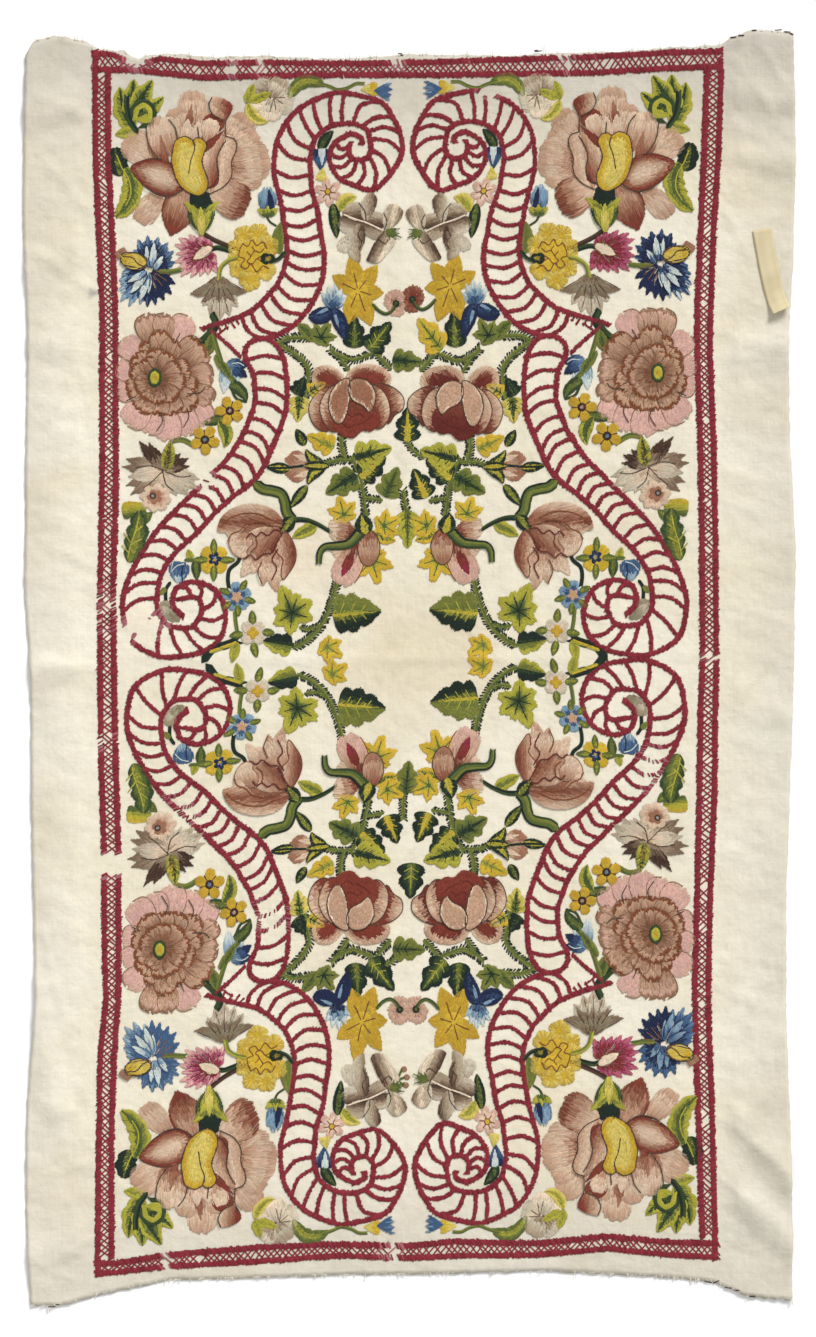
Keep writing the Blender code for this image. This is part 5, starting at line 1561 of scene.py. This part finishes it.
def tulip(n):
    pale = ((0, "russet"), (0.15, "rose_tan"), (0.4, "rose"), (0.65, "rose_pale"), (0.9, "rose"))
    flesh = ((0, "rose_tan"), (0.35, "rose"), (0.65, "rose_pale"))
    # (outline, heading of the stitches, tone, level, heading of the last wool, rim)
    for outline, heading, tone, level, toward, rim in [
            ([(234, 530), (248, 519), (264, 517), (281, 524), (283, 534), (272, 542), (252, 545), (238, 543)], 15,
             ((0, "russet"), (0.5, "rose_tan"), (0.8, "russet")), 0.8, 90, None),
            ([(256, 544), (247, 552), (242, 566), (241, 577), (250, 573), (256, 566), (262, 552)], 115, flesh, 1, 110,
             None),
            ([(262, 545), (254, 560), (251, 573), (260, 572), (262, 586), (269, 577), (272, 563), (270, 548)], 100, pale,
             1.3, 95, None),
            ([(273, 540), (268, 554), (271, 566), (267, 578), (277, 592), (281, 580), (290, 571), (284, 556), (280, 542)],
             95, pale, 1.7, 90, None),
            ([(283, 530), (291, 538), (296, 551), (295, 563), (289, 573), (283, 580), (281, 570), (283, 560), (276, 551),
              (275, 540)], 95, ((0, "rose_pale"), (0.3, "rose"), (0.55, "rose_tan"), (0.85, "russet")), 2.2, -5,
             "russet"),
            ([(246, 536), (241, 546), (246, 556), (254, 552), (259, 558), (268, 549), (274, 552), (281, 531), (268, 527),
              (256, 529)], 120, ((0, "rose_pale"), (0.3, "rose"), (0.6, "rose_tan"), (0.9, "russet")), 3, 40, None),
            ([(229, 540), (238, 534), (249, 533), (253, 543), (247, 551), (248, 558), (238, 557), (231, 550)], 100, flesh,
             3.4, 110, "rose_tan"),
            ([(220, 521), (226, 513), (236, 507), (248, 504), (262, 505), (275, 511), (283, 522), (277, 528), (262, 523),
              (250, 525), (241, 532), (233, 540), (226, 533), (218, 531)], 15,
             ((0, "rose_pale"), (0.2, "rose"), (0.4, "rose_tan"), (0.5, "russet"), (0.6, "rose_tan"), (0.75, "rose"),
              (0.9, "rose_pale")), 4, 88, None)]:
        n.patch(outline, heading, tone, level=level, toward=toward, rim=rim)
    for points, wool in [([(228, 541), (232, 534), (240, 531), (247, 524), (262, 522), (273, 526), (282, 527)], "rust"),
                         ([(247, 538), (251, 533), (256, 537), (262, 532), (268, 536), (274, 530), (281, 531)], "oxblood"),
                         ([(244, 559), (251, 555), (256, 560), (264, 554), (272, 553), (277, 542), (283, 533)], "oxblood"),
                         ([(278, 549), (272, 560), (277, 568), (272, 580)], "oxblood"),
                         ([(262, 562), (258, 572), (262, 584)], "rust"), ([(256, 537), (257, 546), (251, 552)], "rust"),
                         ([(221, 527), (229, 519), (242, 514), (258, 514), (272, 520)], "rust")]:
        n.line(points, wool, 6.5, 1.5, 3.5)


def rosebud(n):
    flesh = ((0, "oxblood"), (0.2, "russet"), (0.4, "rose_tan"), (0.65, "rose"), (0.85, "rose_pale"))
    n.petal((356, 536), (329, 529), 12, flesh, form="drop", level=1, bend=2, edge=0.3)
    n.petal((355, 540), (333, 554), 9, flesh, form="drop", level=1.2)
    n.petal((358, 542), (340, 584), 14, ((0, "russet"), (0.2, "rose_tan"), (0.45, "rose"), (0.75, "blush")), form="drop",
            level=1.4, edge=0.3)
    n.petal((353, 553), (342, 576), 5, ((0, "oxblood"), (0.4, "brick"), (0.9, "magenta")), form="leaf", level=2.6)
    n.petal((358, 540), (355, 582), 8, ((0, "oxblood"), (0.3, "russet"), (0.55, "blush")), form="leaf", level=2.2,
            rim=("brick", "left"))
    n.petal((366, 530), (366, 566), 11, ((0, "brick"), (0.3, "rose_tan"), (0.55, "rose"), (0.85, "rose_tan")), bend=-3,
            form="oval", level=3, edge=0.3, rim="umber")
    sepal = [(364, 527), (357, 536), (348, 544), (336, 546), (325, 547), (320, 553), (319, 563)]
    n.stem(sepal, 12, "forest", "pine", level=4.4, taper=0.45)
    n.stem(sepal, 6.5, "green", "olive", level=5, taper=0.4)
    n.leaf((366, 534), (361, 514), 9, ((0, "gold"), (0.35, "lime"), (0.55, "forest"), (0.75, "pine")), level=5.6)


def rosebud_leaves(n):
    tone = ((0, "forest"), (0.22, "green"), (0.4, "lime"), (0.62, "gold"))
    n.maple((344, 515), 255, 20, tone, level=1.2, veins="green")
    n.maple((384, 526), 335, 20, tone, level=1.2, veins="green")
    n.maple((372, 560), 75, 26, tone, level=1.2, veins="green", narrow=0.8)
    n.leaf((370, 534), (396, 541), 8, tone, level=1, lobes=2)


def lower_flowers(n):
    """The flowers that climb beside the lower spiral, and their stems."""
    n.flower((214, 560), 15.5, 4, ((0, "amber"), (0.6, "gold")), turn=45, core=0.5, roundness=3, level=1)
    for heading in (0, 90, 180, 270):
        base = (214 + 6 * cos(radians(heading)), 560 + 6 * sin(radians(heading)))
        tip = (214 + 22 * cos(radians(heading)), 560 + 22 * sin(radians(heading)))
        n.leaf(base, tip, 3.6, ((0, "lime"), (0.5, "green")), level=2)
    n.flower((215, 559), 7, 5, ((0, "mist"), (0.3, "blue"), (0.7, "navy")), turn=0, core=0.4, level=3)
    n.bloom((215, 560), ((0, "amber"),), core=1.6, level=4)
    n.leaf((192, 562), (188, 549), 4, ((0, "olive"), (0.5, "lime")), level=1)
    n.leaf((196, 560), (197, 580), 5, ((0, "olive"), (0.5, "green"), (0.8, "forest")), level=1)
    n.stem([(186, 560), (194, 560), (202, 557)], 3.4, "green", level=1)
    n.petal((178, 583), (180, 562), 10.5, ((0, "mist"), (0.25, "sky"), (0.45, "blue"), (0.8, "blue")), form="drop",
            level=1)
    n.line([(183, 566), (182, 574), (183, 582)], "navy", 3, 1.6)
    n.line([(171, 572), (177, 566), (184, 564)], "mist", 3, 1.2)
    n.stem([(170, 583), (166, 590), (166, 601)], 3.2, "pine", level=1)
    n.leaf((166, 588), (160, 595), 3, ((0, "olive"),), level=1)
    n.petal((168, 601), (164, 612), 7, ((0, "taupe"), (0.5, "stone")), form="oval", level=1)
    n.petal((164, 606), (180, 620), 5, ((0, "stone_pale"), (0.6, "taupe")), bend=3, form="oval", level=1)
    n.flower((237, 597), 15, 5, ((0, "sky"), (0.25, "navy"), (0.6, "blue"), (0.8, "sky")), turn=-95, core=0.35,
             roundness=3, level=1)
    n.flower((237, 597), 6, 5, ((0, "amber"), (0.45, "rose")), turn=-60, core=0.4, level=3)
    for heading in (-60, 15, 85, 140, 205):
        base = (237 + 8 * cos(radians(heading)), 597 + 8 * sin(radians(heading)))
        tip = (237 + 20 * cos(radians(heading)), 597 + 20 * sin(radians(heading)))
        n.leaf(base, tip, 3.4, ((0, "lime"), (0.5, "green")), level=1.5)
    n.stem([(241, 553), (238, 562), (230, 569), (228, 578), (229, 588)], 3.6, "pine", level=1)
    n.flower((253, 633), 14, 4, ((0, "blush"), (0.4, "rose_pale"), (0.8, "stone_pale")), turn=45, core=0.5, level=1)
    n.flower((253, 633), 6.5, 4, ((0, "gold"), (0.5, "amber")), turn=0, core=0.4, level=3)
    for base, tip in [((253, 624), (252, 610)), ((263, 632), (275, 633)), ((253, 643), (257, 658)),
                      ((243, 634), (229, 636))]:
        n.leaf(base, tip, 4, ((0, "lime"), (0.5, "green")), level=1.5)
    n.stem([(235, 612), (236, 624), (238, 634)], 3.6, "green", "olive", level=1)
    n.stem([(204, 660), (213, 649), (226, 645), (240, 640)], 8, "pine", level=1)
    n.stem([(211, 652), (222, 648), (236, 643)], 3.4, "gold", "lime", level=1.6)
    n.leaf((237, 642), (232, 663), 5, ((0, "olive"), (0.5, "lime")), level=1)


def lower_stems(n):
    n.thorny([(337, 581), (334, 594), (329, 610), (322, 624), (314, 634), (303, 643), (293, 648)], 6)
    n.thorny([(318, 626), (310, 629), (300, 628)], 4)
    n.bloom((292, 613), ((0, "pine"), (0.2, "forest"), (0.42, "green"), (0.66, "lime")),
            [(248, 31, 36, 1.2), (288, 22, 30, 1.3), (328, 25, 34, 1.2), (194, 20, 32, 1.3), (146, 22, 34, 1.2),
             (95, 23, 36, 1.2), (15, 23, 34, 1.2)], core=13, level=1.2, veins="pine", saw=(25, 0.08))
    base, tip = (333, 614), (381, 611)
    for lean, tone in (((1, 0), ((0, "lime"), (0.15, "green"), (0.5, "olive"))),
                       ((0, 1), ((0, "gold"), (0.2, "lime"), (0.35, "forest"), (0.6, "pine")))):
        n.leaf(base, tip, 21, tone, form="heart", level=1.4, lobes=3.4, depth=0.22, lean=lean)
    n.veins(base, tip, 21, "lime", level=3, pairs=3)
    for lean, tone in (((1, 0), ((0, "olive"), (0.4, "green"), (0.8, "lime"))),
                       ((0, 1), ((0, "forest"), (0.4, "pine")))):
        n.leaf((292, 646), (263, 641), 12, tone, form="heart", level=1.1, lobes=2.5, depth=0.25, lean=lean)
    n.maple((327, 647), 32, 19, ((0, "green"), (0.25, "olive"), (0.45, "lime"), (0.6, "gold")), level=1.1,
            veins="olive")


# Motifs on the middle line, charted where they lie
def upper_axis(n):
    n.spade((404, 361), 4, 19, ((0, "pine"), (0.25, "forest"), (0.5, "green"), (0.75, "olive")), level=1)
    n.spade((407.5, 429), 270, 21, ((0, "gold"), (0.25, "lime"), (0.42, "forest"), (0.65, "pine")), level=1,
            veins="gold")
    n.thorny([(408, 443), (414, 451), (424, 458)], 4.4)
    n.thorny([(403, 492), (405, 504), (408, 516)], 5)
    n.spade((407.5, 525), 90, 23, ((0, "forest"), (0.3, "olive"), (0.55, "lime")), level=1.2, veins="forest",
            narrow=0.8)


def lower_axis(n):
    n.spade((407, 781), 275, 20, ((0, "pine"), (0.3, "green"), (0.6, "olive")), level=1.2)
    n.thorny([(403, 818), (403, 804), (404, 792)], 5)
    n.spade((411, 876), 92, 22, ((0, "olive"), (0.2, "green"), (0.45, "forest"), (0.7, "pine")), level=1,
            veins="lime")
    n.spade((405, 949), 2, 20, ((0, "pine"), (0.3, "green"), (0.65, "olive")), level=1)
    n.thorny([(398, 954), (391, 962), (382, 966)], 4.4)
    for right, down in [(404, 1069), (407, 1077), (406, 1085)]:
        n.bloom((right, down), ((0, "fawn"),), core=3, level=1)
        n.stem([(397, 1080), (right - 2, down)], 2, "green", level=1.2)


# Each motif, and the plain solid in the part that it stands for
MOTIFS = [
    (peony, "peony"), (cornflower, "cornflower"), (thistle, "thistle"), (marigold, "marigold"), (lily, "lily"),
    (star_flower, "star_flower"), (chrysanthemum, "chrysanthemum"), (rose, "rose"), (tulip, "tulip"),
    (rosebud, "rosebud"), (mallow, "mallow"), (acanthus, None), (side_leaf, None), (blue_bud, None),
    (top_flower, None), (vine, None), (hanging_tulip, None), (tip_leaves, None), (volute_filler, None),
    (blue_trefoil, None), (axis_flower, None), (upper_ivy, None), (blue_bell, None), (small_flowers, None),
    (pink_round, None), (left_leaves, None), (rose_stems, None), (bud_cluster, None), (curled_stem, None),
    (rosebud_leaves, None), (lower_flowers, None), (lower_stems, None),
]
BORDER_STRETCH = 120.0       # the border is worked in stretches about this long


def build_motifs(finish):
    pieces = []
    for number, (work, node) in enumerate(MOTIFS):
        for turn, quarter in enumerate(QUARTERS):
            needle = Needle(100 * number + turn, quarter)
            work(needle)
            rows = recoloured(thinned(needle.stitches()), work.__name__, quarter)
            name = f"{work.__name__}_{quarter}_work"
            mesh = stitch_mesh(name, rows, needle.random, lambda places, q=quarter: quarter_place(q, places))
            replaced = [f"{node}_{quarter}"] if node else []
            pieces.append(add_piece(name, mesh, finish, replaced))
    for seed, work in enumerate((upper_axis, lower_axis)):
        needle = Needle(9000 + seed)
        work(needle)
        mesh = stitch_mesh(f"{work.__name__}_work", thinned(needle.stitches()), needle.random)
        pieces.append(add_piece(f"{work.__name__}_work", mesh, finish))
    return pieces


def build_scrolls(finish):
    pieces = []
    for turn, quarter in enumerate(QUARTERS):
        for seed, (name, work) in enumerate((("scroll_upper", work_upper_scroll), ("scroll_lower", work_lower_scroll))):
            needle = Needle(5000 + 10 * turn + seed)
            work(needle)
            rows = needle.stitches()
            rows[:, 0:2] = quarter_place(quarter, rows[:, 0:2])
            rows[:, 2:4] = quarter_place(quarter, rows[:, 2:4])
            rows = worn(rows, needle.random)
            mesh = stitch_mesh(f"{name}_{quarter}_work", rows, needle.random)
            pieces.append(add_piece(f"{name}_{quarter}_work", mesh, finish, [f"{name}_{quarter}"]))
    return pieces


def build_border(finish):
    pieces = []
    for seed, (name, (upright, rows)) in enumerate(BANDS.items()):
        start, end = rows[0][0], rows[-1][0]
        count = max(int(round((end - start) / BORDER_STRETCH)), 1)
        for i in range(count):
            needle = Needle(7000 + 50 * seed + i)
            low, high = (start + (end - start) * n / count for n in (i, i + 1))
            work_border(needle, upright, rows, low, high)
            if i == 0:
                for right, top, foot in CORNERS.get(name, ()):
                    needle.rail([(right, top), (right, foot)], 5.4, level=1.5, soft=False)
            worked = worn(needle.stitches(), needle.random)
            along = worked[:, [1, 3]] if upright else worked[:, [0, 2]]
            worked = worked[(along.min(1) > start - 1.5) & (along.max(1) < end + 1.5)]
            mesh = stitch_mesh(f"{name}_{i}_work", worked, needle.random)
            pieces.append(add_piece(f"{name}_{i}_work", mesh, finish, [name] if i == 0 else []))
    return pieces


# --- The tape ------------------------------------------------------------------------------------
TAPE_WIDTH = 19.0
TAPE_STATIONS = [(761.5, 230, 0.0), (765.5, 252, 0.0), (769.5, 273, 0.0), (773.5, 290, 0.0),
                 (777.0, 302, 0.1), (779.5, 308, 0.45), (781.0, 311.5, 1.0)]   # right, down, share of the curl
TAPE_CURL = 7.0
TAPE_THICKNESS = 0.8
TAPE_GAP = 0.35


def tape_finish():
    n = Nodes("tape")
    place = n.add("ShaderNodeTexCoord").outputs["Object"]
    wave = n.add("ShaderNodeTexWave", {"bands_direction": "Y"}, Vector=place, Scale=190.0, Distortion=1.5)
    cloud = n.add("ShaderNodeTexNoise", Vector=place, Scale=60.0, Detail=3.0)
    ramp = n.add("ShaderNodeValToRGB", Fac=cloud.outputs["Fac"])
    ramp.color_ramp.elements[0].color = (*linear((190, 174, 134)), 1)
    ramp.color_ramp.elements[1].color = (*linear((214, 201, 166)), 1)
    n.link(ramp.outputs["Color"], "Base Color")
    bump = n.add("ShaderNodeBump", Height=wave.outputs["Fac"], Strength=0.3, Distance=0.0002)
    n.link(bump.outputs["Normal"], "Normal")
    n.shader.inputs["Roughness"].default_value = 0.8
    return n.finish


def build_tape():
    """The bare tape on the right margin, its lower end curling up."""
    stations = np.array(TAPE_STATIONS, float)
    line = smooth(stations[:, :2], 2.0)
    curl = np.interp(line[:, 1], stations[:, 1], stations[:, 2])
    out = turned(headings(line))
    across = np.linspace(-0.5, 0.5, 9)
    flat = (line[:, None] + out[:, None] * (across * TAPE_WIDTH)[None, :, None])
    base = sheet_lift(flat.reshape(-1, 2)).reshape(len(line), -1).max(1) + SHEET_THICKNESS + TAPE_GAP
    height = base[:, None] + (TAPE_CURL * curl)[:, None] + 0.3 * np.cos(across * 9)[None]
    count = len(line) * len(across)
    top = to_world(flat.reshape(-1, 2), height.ravel() + TAPE_THICKNESS)
    bottom = to_world(flat.reshape(-1, 2), height.ravel())
    index = np.arange(count).reshape(len(line), len(across))
    a, b, c, d = index[:-1, :-1], index[:-1, 1:], index[1:, 1:], index[1:, :-1]
    upper = np.stack([a, b, c, d], -1).reshape(-1, 4)
    ring = np.concatenate([index[0, :], index[1:, -1], index[-1, -2::-1], index[-2:0:-1, 0]])
    following = np.roll(ring, -1)
    sides = np.stack([following, ring, ring + count, following + count], -1)
    faces = np.vstack([upper, upper[:, ::-1] + count, sides]).tolist()
    mesh = make_mesh("tape_strip", np.vstack([top, bottom]), faces)
    tape = add_piece("tape_strip", mesh, tape_finish(), ["label_tape"])
    return tape


# --- Room, light and camera ----------------------------------------------------------------------
def build_stage():
    bpy.ops.mesh.primitive_plane_add(size=8.0)
    floor = bpy.context.object
    floor.name = "floor"
    finish = bpy.data.materials.new("floor")
    finish.use_nodes = True
    shader = finish.node_tree.nodes["Principled BSDF"]
    shader.inputs["Base Color"].default_value = (0.93, 0.93, 0.93, 1)
    shader.inputs["Roughness"].default_value = 1.0
    floor.data.materials.append(finish)

    world = bpy.data.worlds.new("studio")
    bpy.context.scene.world = world
    world.use_nodes = True
    world.node_tree.nodes["Background"].inputs["Color"].default_value = (1, 1, 1, 1)
    world.node_tree.nodes["Background"].inputs["Strength"].default_value = 0.50
    # (name, kind, place, power): a wide soft key from the top right, and a fill
    for name, kind, place, power in [("key", "SUN", (1.7, 3.0, 2.4), 3.3), ("fill", "AREA", (-1.8, -0.6, 2.4), 14)]:
        lamp = bpy.data.lights.new(name, kind)
        lamp.energy = power
        if kind == "SUN":
            lamp.angle = radians(22)
        else:
            lamp.shape, lamp.size = "SQUARE", 2.0
        holder = bpy.data.objects.new(name, lamp)
        holder.location = place
        holder.rotation_euler = (-holder.location).to_track_quat("-Z", "Y").to_euler()
        bpy.context.scene.collection.objects.link(holder)

    camera = bpy.data.cameras.new("camera")
    camera.sensor_width = 36.0
    camera.lens = 100.0
    view = bpy.data.objects.new("camera", camera)
    distance = 1.337 * camera.lens / camera.sensor_width
    view.location = (-0.00153, -0.00015, distance)
    bpy.context.scene.collection.objects.link(view)
    bpy.context.scene.camera = view
    bpy.context.scene.view_settings.view_transform = "Standard"


def main():
    build_stage()
    sheet, area = build_linen()
    build_tape()
    crimson, coloured = wool_finish("crimson_wool"), wool_finish("coloured_wool")
    worked = build_border(crimson) + build_scrolls(crimson) + build_motifs(coloured) + [build_threads(coloured)]
    triangles = sum(len(p.vertices) - 2 for piece in worked for p in piece.data.polygons)
    print("stitch triangles", triangles, "pieces", len(worked))


main()
